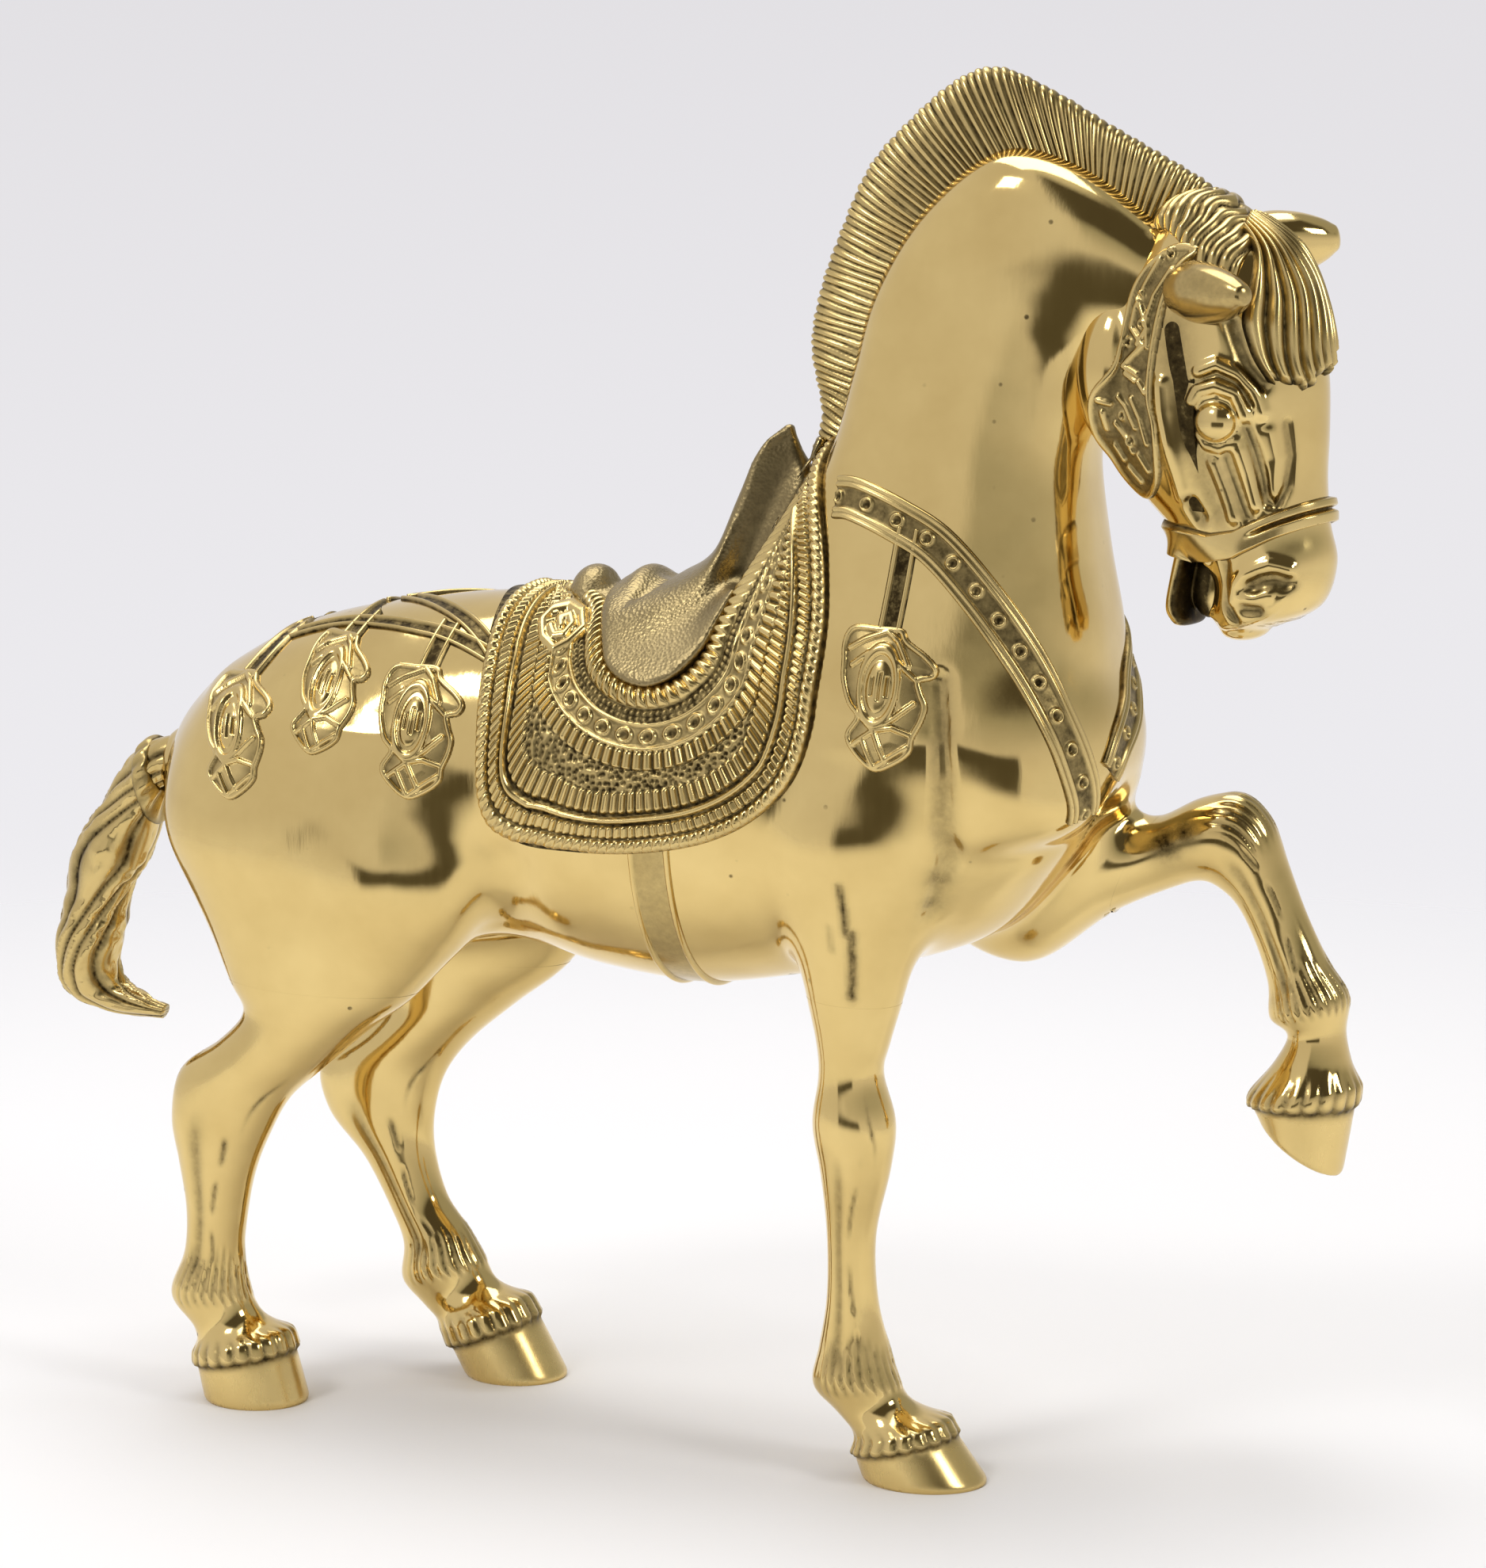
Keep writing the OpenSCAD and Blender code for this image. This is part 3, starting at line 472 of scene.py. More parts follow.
# Each leg: its limb, the station where it leaves the body, and its box [low corner, high corner]
LEGS = {
    "right_fore_leg": (right_fore, 4, [(36, -46, -3), (100, -6, 128)]),
    "left_fore_leg": (left_fore, 3, [(88, 8, 62), (172, 46, 176)]),
    "right_hind_leg": (right_hind, 3, [(-130, -46, -3), (-34, -4, 124)]),
    "left_hind_leg": (left_hind, 3, [(-116, 4, -3), (-16, 46, 124)]),
}
BLEND = {"withers": 4, "neck": 14, "breast": 9, "fore": 9, "hind": 12}


def body_field(grid, legs):
    """Trunk, neck and breast with the given legs, before any cut."""
    f = trunk.field(grid, cap=0.7)
    neck_blend = BLEND["withers"] + (BLEND["neck"] - BLEND["withers"]) * rising(42, 72, grid.x[:, None, None])
    f = joined(f, neck.field(grid, cap=0.3), neck_blend)
    for b in breasts:
        f = joined(f, b.field(grid, cap=0.5), BLEND["breast"])
    for name in legs:
        f = joined(f, LEGS[name][0].field(grid), BLEND["fore" if "fore" in name else "hind"])
    return f


def joint_cut(name, grid):
    """Field that is positive beyond the joint of a leg."""
    limb, station, _ = LEGS[name]
    x, z = grid.x[:, None, None], grid.z[None, None, :]
    return np.broadcast_to(limb.beyond(station * limb.steps, x, z), grid.shape)


# Materials

def node_maker(material):
    """Short way to add a node: its type, settings and inputs, where an input may be another node's output."""
    tree = material.node_tree

    def make(kind, inputs=None, **settings):
        node = tree.nodes.new("ShaderNode" + kind)
        for key, value in settings.items():
            setattr(node, key, value)
        for key, value in (inputs or {}).items():
            if isinstance(value, bpy.types.NodeSocket):
                tree.links.new(value, node.inputs[key])
            else:
                node.inputs[key].default_value = value
        return node
    return make


def ramp(make, source, stops):
    """Colour ramp with [place, colour] stops."""
    node = make("ValToRGB", {"Fac": source})
    while len(node.color_ramp.elements) < len(stops):
        node.color_ramp.elements.new(0.5)
    for element, (place, colour) in zip(node.color_ramp.elements, stops):
        element.position = place
        element.color = (*colour, 1) if hasattr(colour, "__len__") else (colour, colour, colour, 1)
    return node.outputs["Color"]


def maths(make, operation, *values, clamp=False):
    """Output of a maths node."""
    return make("Math", dict(enumerate(values)), operation=operation, use_clamp=clamp).outputs[0]


def brass(name, pale, deep, rough, waver, grain=0.0, grain_size=0.0008, soil=0.8):
    """Brass with uneven colour, fine scratches, soft dents and brown soil where the mask recess is high;
    inside the mouth of the head the same brown is painted shade.
    """
    m = bpy.data.materials.new(name)
    m.use_nodes = True
    make = node_maker(m)
    shader = m.node_tree.nodes["Principled BSDF"]
    link = m.node_tree.links.new
    place = make("TexCoord").outputs["Object"]
    recess, satin, polish = (make("Attribute", attribute_name=mask).outputs["Fac"]
                             for mask in ("recess", "satin", "polish"))
    cloud = make("TexNoise", {"Vector": place, "Scale": 38, "Detail": 4, "Roughness": 0.6}).outputs["Fac"]
    tint = ramp(make, cloud, [(0.3, deep), (0.7, pale)])
    speck = make("TexNoise", {"Vector": place, "Scale": 420, "Detail": 5, "Roughness": 0.7}).outputs["Fac"]
    pock = make("TexVoronoi", {"Vector": place, "Scale": 130}).outputs["Distance"]
    pocked = ramp(make, cloud, [(0.52, 0.0), (0.62, 1.0)])
    pock = maths(make, "MULTIPLY", ramp(make, pock, [(0.05, 0.9), (0.09, 0.0)]), pocked)
    recess = maths(make, "MAXIMUM", recess, pock)
    # Brown soil in the hollows, and painted shade where the head's mask marks the inside of the mouth
    soil_and_shade = maths(make, "MULTIPLY", recess, ramp(make, speck, [(0.30, 1.35), (0.75, 0.75)]))
    soil_and_shade = maths(make, "MULTIPLY", soil_and_shade, soil, clamp=True)
    brown = ramp(make, speck, [(0.35, (0.030, 0.020, 0.008)), (0.65, (0.085, 0.060, 0.022))])
    colour = make("Mix", {"Factor": soil_and_shade, "A": tint, "B": brown}, data_type="RGBA")
    link(colour.outputs["Result"], shader.inputs["Base Color"])
    shader.inputs["Metallic"].default_value = 1.0

    scratch_place = make("Mapping", {"Vector": place, "Scale": (900, 900, 130), "Rotation": (0.3, 0.2, 0.5)})
    scratch = make("TexNoise", {"Vector": scratch_place.outputs[0], "Scale": 1, "Detail": 3}).outputs["Fac"]
    wipe = ramp(make, cloud, [(0.3, rough * 0.75), (0.75, rough * 1.35)])
    haze = wipe
    for mask, share in ((scratch, 0.07), (soil_and_shade, 0.3), (satin, 0.16), (polish, -0.22)):
        haze = maths(make, "MULTIPLY_ADD", mask, share, haze, clamp=True)
    link(haze, shader.inputs["Roughness"])

    dent = make("TexNoise", {"Vector": place, "Scale": 42, "Detail": 1.5}).outputs["Fac"]
    bump = make("Bump", {"Height": dent, "Strength": 1.0, "Distance": waver})
    fine = make("Bump", {"Height": scratch, "Strength": 1.0, "Distance": 0.000012, "Normal": bump.outputs[0]})
    if grain:
        pits = make("TexVoronoi", {"Vector": place, "Scale": 1 / grain_size}).outputs["Distance"]
        depth = maths(make, "MULTIPLY_ADD", polish, -grain, grain)
        fine = make("Bump", {"Height": pits, "Strength": 1.0, "Distance": depth, "Normal": fine.outputs[0]})
    link(fine.outputs[0], shader.inputs["Normal"])
    return m


polished = brass("polished_brass", (0.78, 0.59, 0.245), (0.68, 0.50, 0.195), 0.065, 0.0006)
worked = brass("worked_brass", (0.74, 0.565, 0.24), (0.60, 0.445, 0.175), 0.18, 0.00015, soil=1.0)
satin = brass("satin_brass", (0.36, 0.28, 0.138), (0.28, 0.215, 0.10), 0.32, 0.00012, grain=0.00012)


# Body halves and legs

# Work on the right side of the body and legs: line, radius, height and soil
BODY_WORK = [
    ([(-52, -40, 132), (-42, -36, 128)], 13, 3.4, 0),
    ([(-23, -35.5, 139), (-24.5, -32.5, 130), (-30, -24, 120)], 6.5, -2.6, 0),
    ([(82.6, -33.3, 188.7), (83.9, -35.1, 178.3), (84.6, -35.8, 167.7), (84.2, -34.5, 156.6),
      (84.9, -31, 147)], 2.2, -2.2, 0.6),
    ([(84.9, -31, 150), (83, -30.4, 143), (80, -28, 135)], 2.6, -1.8, 0.5),
]
STAINS = [((120, 16.9, 146), 4.5, 1.1), ((124.5, 17.5, 148.5), 3.5, 1.0), ((82.5, -30.5, 143), 3.5, 0.8),
          ((80, -28.5, 137), 3, 0.7), ((-30, -31, 143), 3, 0.5)]
SCARS = [
    ([(60.9, -38.2, 141), (61.6, -37.4, 135), (61.8, -36.6, 130)], 0.8, -0.7, 1),
    ([(63.1, -36.2, 130), (62.9, -35, 122), (62.3, -33.9, 115)], 0.9, -0.8, 1),
    ([(57.5, -37.4, 131), (58, -36.6, 126)], 0.7, -0.6, 0.9),
]


def work_on(grid, field, lines):
    """Ridges and grooves along lines, on the right side and mirrored on the left."""
    for line, radius, height, _ in lines:
        for one in both_sides(line):
            press(grid, field, one, radius, height)
    return field


def stained(points):
    """Soil of the stains at points."""
    return np.max([amount * bell(np.linalg.norm(points - place, axis=1), reach)
                   for place, reach, amount in STAINS], axis=0)


# Reach of the soil round a worked line, in its radii
SOIL_REACH = 1.25


def soil_along(points, lines):
    """Soil of the worked lines at points of either side."""
    near = points * np.where(points[:, 1:2] > 0, (1, -1, 1), (1, 1, 1))
    soil = np.zeros(len(points))
    for line, radius, _, amount in lines:
        if amount:
            far = near_line(*near.T, line)
            soil = np.maximum(soil, amount * bell(far, SOIL_REACH * radius))
    return soil


body_grid = Grid((-132, -46.5, 92), (134, 46.5, 316), 1.0)
body_skin = work_on(body_grid, blurred(body_field(body_grid, LEGS), 2), BODY_WORK)


def body_pieces():
    x, y, z = body_grid.x[:, None, None], body_grid.y[None, :, None], body_grid.z[None, None, :]
    off = np.full(body_grid.shape, -50.0, np.float32)
    for name, (limb, station, box) in LEGS.items():
        low, high = np.array(box)
        mine = (x > low[0]) & (x < high[0]) & (y > low[1]) & (y < high[1]) & (z > low[2]) & (z < high[2])
        off = np.where(mine, joint_cut(name, body_grid), off)
    for node, side in (("body_right_half", RIGHT), ("body_left_half", LEFT)):
        middle = np.broadcast_to(-side * y, body_grid.shape).astype(np.float32)
        points, quads, normals = skin_of(body_grid, body_skin, (middle, off))
        soil = soil_along(points, BODY_WORK + (SCARS if side == RIGHT else []))
        masks = {"recess": np.maximum(soil, stained(points))}
        add_piece(node, polished, points, quads, normals, masks)


# Station of the fetlock on each leg; the pastern, the coronet, the top of the hoof and the sole follow it
FETLOCK = {"right_fore_leg": 12, "left_fore_leg": 10, "right_hind_leg": 11, "left_hind_leg": 11}
# Station of a knee with combed lines
KNEE = {"left_fore_leg": 5.2}
FRINGE_LOBES, FRINGE_H = 21, 1.35
HAIR_LINES, COMB_DEPTH, TENDON_DEPTH = 26, 0.75, 0.55


def leg_relief(limb, fetlock, knee):
    """Height of the fringe, hair lines and tendon groove of a leg, its soil, and its hoof."""
    s, turn = limb.station[:, None, :], limb.turn
    front = np.cos(turn)
    coronet = fetlock + 2
    lobe = np.abs(np.cos(FRINGE_LOBES * turn / 2)) ** 0.5
    fringe = rising(coronet - 0.5, coronet + 0.2, s)
    fringe = fringe * (1 - rising(coronet + 0.98, coronet + 1.1, s - 0.08 * lobe))
    groove = 1 - np.abs(np.cos(HAIR_LINES * turn / 2 + 0.4 * np.sin(3 * s))) ** 0.5
    comb = rising(fetlock - 1.25, fetlock - 0.8, s + 0.15 * np.sin(5 * turn))
    comb = comb * (1 - rising(fetlock + 0.1, fetlock + 0.4, s)) * rising(-0.75, -0.35, front)
    if knee:
        cap = window(knee - 0.8, knee - 0.4, knee + 0.7, knee + 1.3, s)
        comb = np.maximum(comb, cap * rising(0.1, 0.5, front))
    tendon = bell(front + 0.2, 0.16)
    tendon = tendon * window(fetlock - 4.6, fetlock - 3.6, fetlock - 0.9, fetlock - 0.4, s)
    streak = bell(front - 0.36 - 0.1 * np.sin(1.9 * s), 0.05) * np.clip(0.7 + np.sin(5.3 * s), 0, 1)
    streak = streak * window(fetlock - 4.4, fetlock - 3.8, fetlock - 1.2, fetlock - 0.7, s)
    scratch = bell(front - 0.72 - 0.05 * np.sin(2.6 * s), 0.025) * bell(s - fetlock + 5.0, 0.5)
    height = FRINGE_H * fringe * (0.4 + 0.6 * lobe) - COMB_DEPTH * comb * groove + 0.25 * comb
    height = height - TENDON_DEPTH * tendon - 0.35 * streak - 0.3 * scratch
    soil = np.maximum(fringe * (1 - lobe), comb * groove) + 0.6 * tendon
    soil = soil + bell(s - coronet - 1.12, 0.08)
    soil = np.maximum(soil, np.maximum(streak, scratch))
    hoof = rising(coronet + 1.0, coronet + 1.15, s) + 0 * turn
    return height, soil, hoof


def leg_piece(name):
    limb, station, (low, high) = LEGS[name]
    grid = Grid(low, high, 0.6)
    field = work_on(grid, blurred(body_field(grid, [name]), 3), BODY_WORK)
    height, soil, hoof = leg_relief(limb, FETLOCK[name], KNEE.get(name))
    field = field - height
    floor = np.broadcast_to(-grid.z[None, None, :], grid.shape).astype(np.float32)
    points, quads, normals = skin_of(grid, field, (-joint_cut(name, grid), floor), rounds=3)
    soil = np.maximum(np.clip(sample(grid, soil, points), 0, 1), stained(points))
    masks = {"recess": soil, "satin": sample(grid, hoof, points)}
    add_piece(name, polished, points, quads, normals, masks)


body_pieces()
for leg in LEGS:
    leg_piece(leg)


# Head

head_grid = Grid((104, -24, 194), (172, 24, 298), 0.5)
head_skin = joined(skull.field(head_grid, cap=0.6), jaw.field(head_grid, cap=0.5), 3)
for one in both_sides([(118, -7, 257)]):
    head_skin = joined(head_skin, oval(head_grid, one[0], (10.5, 12.2, 19)), 1.5)
head_skin = blurred(head_skin, 3)

# Work on the right side of the straight head: line, radius, height and soil
HEAD_WORK = [
    ([(141.6, -19, 252.4), (143.2, -18.9, 255.2), (147.2, -18, 256.4), (151.6, -16.6, 254.8),
      (153.2, -15.4, 250)], 1.2, 2.4, 0),
    ([(142.6, -18.7, 245.4), (144.6, -18, 243.2), (147.8, -17, 242.4), (151.2, -15.8, 244)], 1.0, 1.8, 0),
    ([(143.4, -18.6, 259.4), (147.1, -17.6, 261), (151.4, -16.3, 259.2), (155, -14.7, 255.4),
      (156.4, -13.6, 250.6)], 1.3, 2.0, 0),
    ([(142.4, -19, 257.0), (147.2, -18, 258.9), (151.6, -16.6, 257.0), (154.4, -15, 252.4)], 0.8, -1.5, 1),
    ([(141, -19, 251), (140.8, -19, 247), (142, -18.6, 243.4)], 1.4, -1.6, 1),
    ([(153.6, -15, 247), (155, -13.7, 242.2), (156.2, -12.3, 236.6), (157, -10.9, 230.5)], 1.0, -2.1, 1.2),
    ([(149.4, -16.4, 240.6), (150.4, -15, 236.1), (151.8, -13.8, 231.2), (153, -12.8, 227)], 1.0, -2.1, 1.2),
    ([(151.8, -15.6, 242), (153.2, -14.2, 236.6), (154.6, -13, 230)], 1.4, 1.3, 0),
    ([(160.8, -9.6, 248), (161.6, -8.8, 241), (160.4, -8.6, 234), (158.4, -9.6, 229.6)], 0.9, -1.5, 1),
    ([(157.6, -12.3, 246), (158.6, -11, 240.2), (157.8, -11, 233)], 1.5, 1.0, 0),
    ([(135.8, -18, 268), (138, -18.9, 260), (139.6, -19.3, 252.9), (141.8, -18.2, 243), (144.4, -16, 235.4),
      (146.4, -14.4, 229)], 3.8, -0.8, 0.5),
    ([(146, -16.8, 239), (148, -15, 232.6), (149.6, -13.8, 227)], 1.3, 1.4, 0),
    ([(139.6, -14.8, 229.6), (141.5, -14, 226.4)], 1.5, -2.0, 1),
    ([(134.2, -19.5, 256), (134.6, -19.3, 250), (135.8, -18.4, 242.3), (137.6, -15, 231)], 1.6, 1.5, 0),
    ([(149.4, -15.2, 270), (151.1, -15.3, 265.9), (153.2, -14.9, 261.2), (156.4, -13.3, 257)], 1.6, -1.8, 1),
    ([(147.4, -13, 216.6), (147, -12.9, 212), (147.6, -12.4, 207.4), (149.8, -11.2, 203.8)], 1.0, -1.7, 1),
    ([(141, -11.5, 216), (140.4, -10.8, 210), (141, -9.6, 204)], 1.6, 1.2, 0),
]
# Nostril and lips
HEAD_WORK += [
    ([(149.4, -12.7, 208.4), (150.4, -13.2, 212), (152.5, -13.4, 214.5), (158.1, -12.2, 217.1),
      (162.1, -10, 215.9)], 1.2, 1.7, 0),
    ([(154.6, -13, 211.8), (156.6, -12.9, 213), (159.8, -11.6, 213.5),
      (161.6, -10.2, 212.6)], 1.5, -2.2, 1.2),
    ([(152.7, -12.9, 206.5), (155.7, -11.8, 206.3)], 1.1, -1.7, 1.2),
    ([(145.5, -9.5, 202), (152.3, -11, 203.4), (158.1, -10.8, 206.7), (162.2, -9.3, 211.3)], 1.3, 1.1, 0),
    ([(152, -12.8, 209), (155, -12.4, 209.4), (158, -11.6, 210)], 1.1, 1.1, 0),
]
EYE = ((146.7, -17.0, 248.3), (4.9, 3.5, 4.6))
# Gap of the mouth in the side view, and half its width
MOUTH = [(135.8, 215.4), (135.4, 210), (134.6, 206), (135.6, 198)]
MOUTH_HALF = 1.5
# Wall between the two sides of the mouth, painted dark as the shade inside the mouth
TONGUE = ((136.5, 0, 210), (4.5, 3.2, 8))


def head_piece():
    grid, field = head_grid, work_on(head_grid, head_skin.copy(), HEAD_WORK)
    for one in both_sides([EYE[0]]):
        field = joined(field, oval(grid, one[0], EYE[1]), 0.5)
    x, z = np.meshgrid(grid.x, grid.z, indexing="ij")
    gap = (line_distance(x, z, MOUTH) - MOUTH_HALF)[:, None, :]
    field = -joined(-field, np.broadcast_to(gap, grid.shape), 0.8)
    field = joined(field, oval(grid, *TONGUE), 0.6)
    points, quads, normals = skin_of(grid, field, rounds=5)
    mouth = line_distance(points[:, 0], points[:, 2], MOUTH)
    # Painted shade: the surfaces that face into the mouth gap, and the wall between its sides, get the brown
    # soil colour as the shade inside the mouth; the worked lines keep their own soil
    facing = np.clip(2 * normals[:, 0] * np.sign(136 - points[:, 0]), 0, 1)
    mouth_shade_wall = np.clip(3.4 - mouth, 0, 1) * (abs(points[:, 1]) < 5)
    inside = np.maximum(facing * np.clip(2.5 - mouth / 2.4, 0, 1), mouth_shade_wall)
    soil = np.maximum(soil_along(points, HEAD_WORK), 1.3 * inside)
    add_piece("head", polished, turned(points), quads, turned_way(normals),
              {"recess": soil})


# Relief: plates and straps that lie on a skin

def arc(distance, width):
    """Half-round ridge of a given half width, with its top at 1."""
    return np.sqrt(np.clip(1 - (distance / width) ** 2, 0, None))


def line_distance(u, v, line):
    """Distance in a plane to a line of points."""
    flat = np.array([(a, b, 0) for a, b in line], float)
    return near_line(u, v, np.zeros_like(u), flat)


def rounded_outline(corners, steps=8):
    """Smooth closed outline through corners."""
    loop = np.array(list(corners) + list(corners[:3]), float)
    n = len(corners)
    return smoothed(loop, steps)[steps:steps * (n + 1)]


def outline_distance(u, v, outline):
    """Distance to a closed outline in a plane, negative inside."""
    closed = np.vstack([outline, outline[:1]])
    inside = np.zeros(u.shape, bool)
    for (a, b), (c, d) in zip(closed[:-1], closed[1:]):
        if b != d:
            inside ^= ((b > v) != (d > v)) & (u < a + (v - b) * (c - a) / (d - b))
    far = line_distance(u, v, closed)
    return np.where(inside, -far, far)


# Steps of a smooth line between two of its points
LINE_STEPS = 24


def even(line, pitch):
    """Smooth line through points, with even steps of about the given length."""
    fine = smoothed(line, LINE_STEPS)
    far = lengths(fine)
    count = max(int(far[-1] / pitch), 2) + 1
    steps = np.linspace(0, far[-1], count)
    return picked(steps, far, fine), steps


def settled(grid, field, points, rounds=8):
    """Nearest places on a field's skin."""
    p = points.reshape(-1, 3).copy()
    for _ in range(rounds):
        p -= np.clip(sample(grid, field, p), -4, 4)[:, None] * slope(grid, field, p)
    return p.reshape(points.shape)


def from_right(grid, field, x, z):
    """Places on a skin behind points of the side view; for a point past the skin, the nearest place."""
    begin = np.stack([x, np.full(x.shape, grid.y[0] + 0.5), z], -1).reshape(-1, 3)
    found = traced(grid, field, begin, np.array([[0, 1.0, 0]]), 60)
    found[:, 1] = np.minimum(found[:, 1], -1.0)
    return settled(grid, field, found.reshape(x.shape + (3,)), 12)


def ways(grid, field, points):
    return slope(grid, field, points.reshape(-1, 3)).reshape(points.shape)


def strap_shell(grid, field, line, half_width, height, pitch=0.4, rows=19, sink=0.8):
    """Strap along a line on a skin; height(u, v) gives its relief from the lengths along and across it."""
    middle, along = even(line, pitch)
    middle = settled(grid, field, middle)
    tangent = np.gradient(middle, axis=0)
    tangent /= np.linalg.norm(tangent, axis=1, keepdims=True)
    across = np.cross(ways(grid, field, middle), tangent)
    across /= np.linalg.norm(across, axis=1, keepdims=True)
    wide = half_width(along / along[-1]) if callable(half_width) else np.full(len(along), float(half_width))
    v = np.linspace(-1, 1, rows)[None, :] * wide[:, None]
    u = np.repeat(along[:, None], rows, axis=1)
    base = settled(grid, field, middle[:, None] + across[:, None] * v[..., None])
    h = height(u, v)
    low = np.clip(1 - h / max(h.max(), 1e-6), 0, 1)
    return *raised(grid, field, base, h, sink), shell_mask(low)


def raised(grid, field, base, h, sink):
    """Closed shell over places on a skin, raised by h and sunk below the skin."""
    up = ways(grid, field, base)
    return closed_shell(base + up * h[..., None], base - up * sink)


def shell_mask(low):
    """Soil of a closed shell: that of its top, and full soil below."""
    return np.concatenate([low.ravel(), np.ones(low.size)])


def gathered(shells):
    """Several shells as one mesh."""
    points, quads, masks, start = [], [], [], 0
    for p, q, m in shells:
        points.append(p)
        quads.append(q + start)
        masks.append(m)
        start += len(p)
    return np.vstack(points), np.vstack(quads), np.concatenate(masks)


def mirrored(shell):
    points, quads, mask = shell
    return points * (1, -1, 1), quads[:, ::-1], mask


head_piece()


# Saddle cloth: bands from the outer edge, then a pitted field, then bands to the saddle flap

# Outer and inner edge of the cloth on the right side, from the withers round below to the back
CLOTH_EDGES = [
    [(47, 0, 239.5), (38, 0, 226)], [(51, -13, 231), (36, -8, 219)], [(54, -23, 215), (31, -13, 206)],
    [(55, -31, 194), (26.5, -18.5, 197)], [(51.5, -37, 170), (24, -25, 190)],
    [(43, -38, 157.5), (21, -28.5, 186.5)], [(29, -38, 149.5), (17, -30, 183.8)],
    [(10, -38, 145.5), (11, -30.5, 182.8)], [(-9, -37, 144.8), (5, -29.5, 184)],
    [(-21, -36.5, 146), (1, -28, 186.5)], [(-28, -36.5, 152), (-1.5, -25.5, 189)],
    [(-30, -34, 170), (-3.5, -20, 193)], [(-31.5, -27, 185), (-5, -13, 197)],
    [(-34, -14, 196), (-10, -7, 199.5)], [(-36, 0, 199), (-18, 0, 200)]]
# Outline of the cloth, seen from the right side: [x, z]
CLOTH_OUTLINE = [
    (-36, 215), (-34.6, 197.5), (-31.5, 188), (-29.5, 157), (-26, 148.5), (-10, 145), (10, 145.5),
    (30, 150), (43, 158), (51, 169), (55, 194), (54, 215), (50, 231), (44, 239), (25, 239)]
# Carved scroll behind the cantle, seen from the right side
SCROLL = [
    [(-20.5, 193.5), (-18.4, 190.3), (-14.6, 188.3), (-11.6, 190), (-9.4, 192.6), (-12, 195.4), (-16, 196.6),
     (-19.4, 195.8), (-20.5, 193.5)],
    [(-17.8, 192.4), (-16, 190.8), (-13.4, 191.2), (-12.6, 193), (-14.4, 194.6), (-16.4, 194),
     (-15.2, 192.6)]]
# Rear and lower edge of the cloth, run on past their corner
CLOTH_REAR = [(-34, 200), (-31.5, 186), (-29.5, 157), (-28.8, 146), (-28.2, 138)]
CLOTH_LOWER = [(-42, 150), (-26, 146.8), (-10, 145), (10, 145.5), (30, 150)]
# Outline of the saddle flap
FLAP = [
    (-6, 215), (-4, 197), (-2.5, 191), (0, 187), (4.5, 184.2), (11, 183), (17, 185), (21.5, 189),
    (24.5, 193.5), (26, 198), (31, 212), (35, 228), (34, 238), (20, 238)]
CLOTH_PITCH = 0.32
# Raised border round the cloth and round the flap, and all the bands inward from each edge
BORDER, FLAP_BORDER = 9, 5
BANDS_OUTER, BANDS_INNER = 14.4, 18.4
RIB = 2.3
RING_STEP = 5.3
# Steps of the edges between two places, rows of the pitted field, pitch of the other rows, middle of the back
EDGE_STEPS, FIELD_ROWS, ROW_PITCH, BACK_MIDDLE_Z = 40, 34, 0.36, 150
# Height of the pitted field, and the step, depth and size of its pits
FIELD_H, FIELD_PITS = 1.5, (1.5, 0.8, 0.55)
SCROLL_HALF, CLOTH_SINK = 1.1, 1.2


def cloth_height(run, outer, inner):
    """Relief of the cloth from its lengths along and the distances to its outer and inner edge.

    run(place, step) counts steps along the cloth, at a place from the inner edge (0) to the outer one (1)."""
    h = np.full(outer.shape, 0.8)
    crown = lambda t: np.sqrt(np.clip(np.sin(np.pi * t), 0, 1))
    flat_top = lambda t: np.clip(np.minimum(t, 1 - t) / 0.12, 0, 1) ** 0.5
    bar = lambda phase: np.abs(np.cos(np.pi * phase)) ** 0.7

    def put(distance, start, end, relief):
        where = (distance >= start) & (distance < end)
        h[where] = relief(np.clip((distance - start) / (end - start), 0, 1))[where]

    put(outer, 0.0, 3.3, lambda t: 1.0 + 1.7 * crown(t) * (0.4 + 0.6 * bar(run(0.97, 2.3) + 0.5 * t)))
    put(outer, 3.3, 3.7, lambda t: 0.7 + 0 * t)
    put(outer, 3.7, 6.6, lambda t: 0.9 + 1.5 * flat_top(t) * bar(run(0.9, 1.9)))
    put(outer, 6.6, 7.1, lambda t: 0.7 + 0 * t)
    put(outer, 7.1, 8.6, lambda t: 1.1 + 1.4 * crown(t))
    put(outer, 8.6, 9.2, lambda t: 0.6 + 0 * t)
    put(outer, 9.2, BANDS_OUTER, lambda t: 0.6 + 1.6 * flat_top(t) * bar(run(0.76, RIB)))
    put(inner, 0.0, 5.0, lambda t: 1.0 + 2.0 * crown(t) * (0.4 + 0.6 * bar(run(0.05, 2.3) + 0.7 * t)))
    put(inner, 5.0, 8.0, lambda t: 0.7 + 0.7 * crown(t) * bar(run(0.14, 1.5)) * bar(inner / 1.5))
    put(inner, 8.0, 14.0, lambda t: 1.2 + 0.9 * bell(np.minimum(t, 1 - t) - 0.07, 0.06))
    ring = np.hypot(((run(0.24, RING_STEP) + 0.5) % 1 - 0.5) * RING_STEP, 1.1 * (inner - 11.0))
    punch = 0.75 * bell(ring - 1.55, 0.40) - 0.35 * bell(ring, 0.8)
    h += np.where((inner >= 8.6) & (inner < 13.4), punch, 0)
    put(inner, 14.0, BANDS_INNER, lambda t: 0.6 + 1.6 * flat_top(t) * bar(run(0.36, RIB)))
    return h


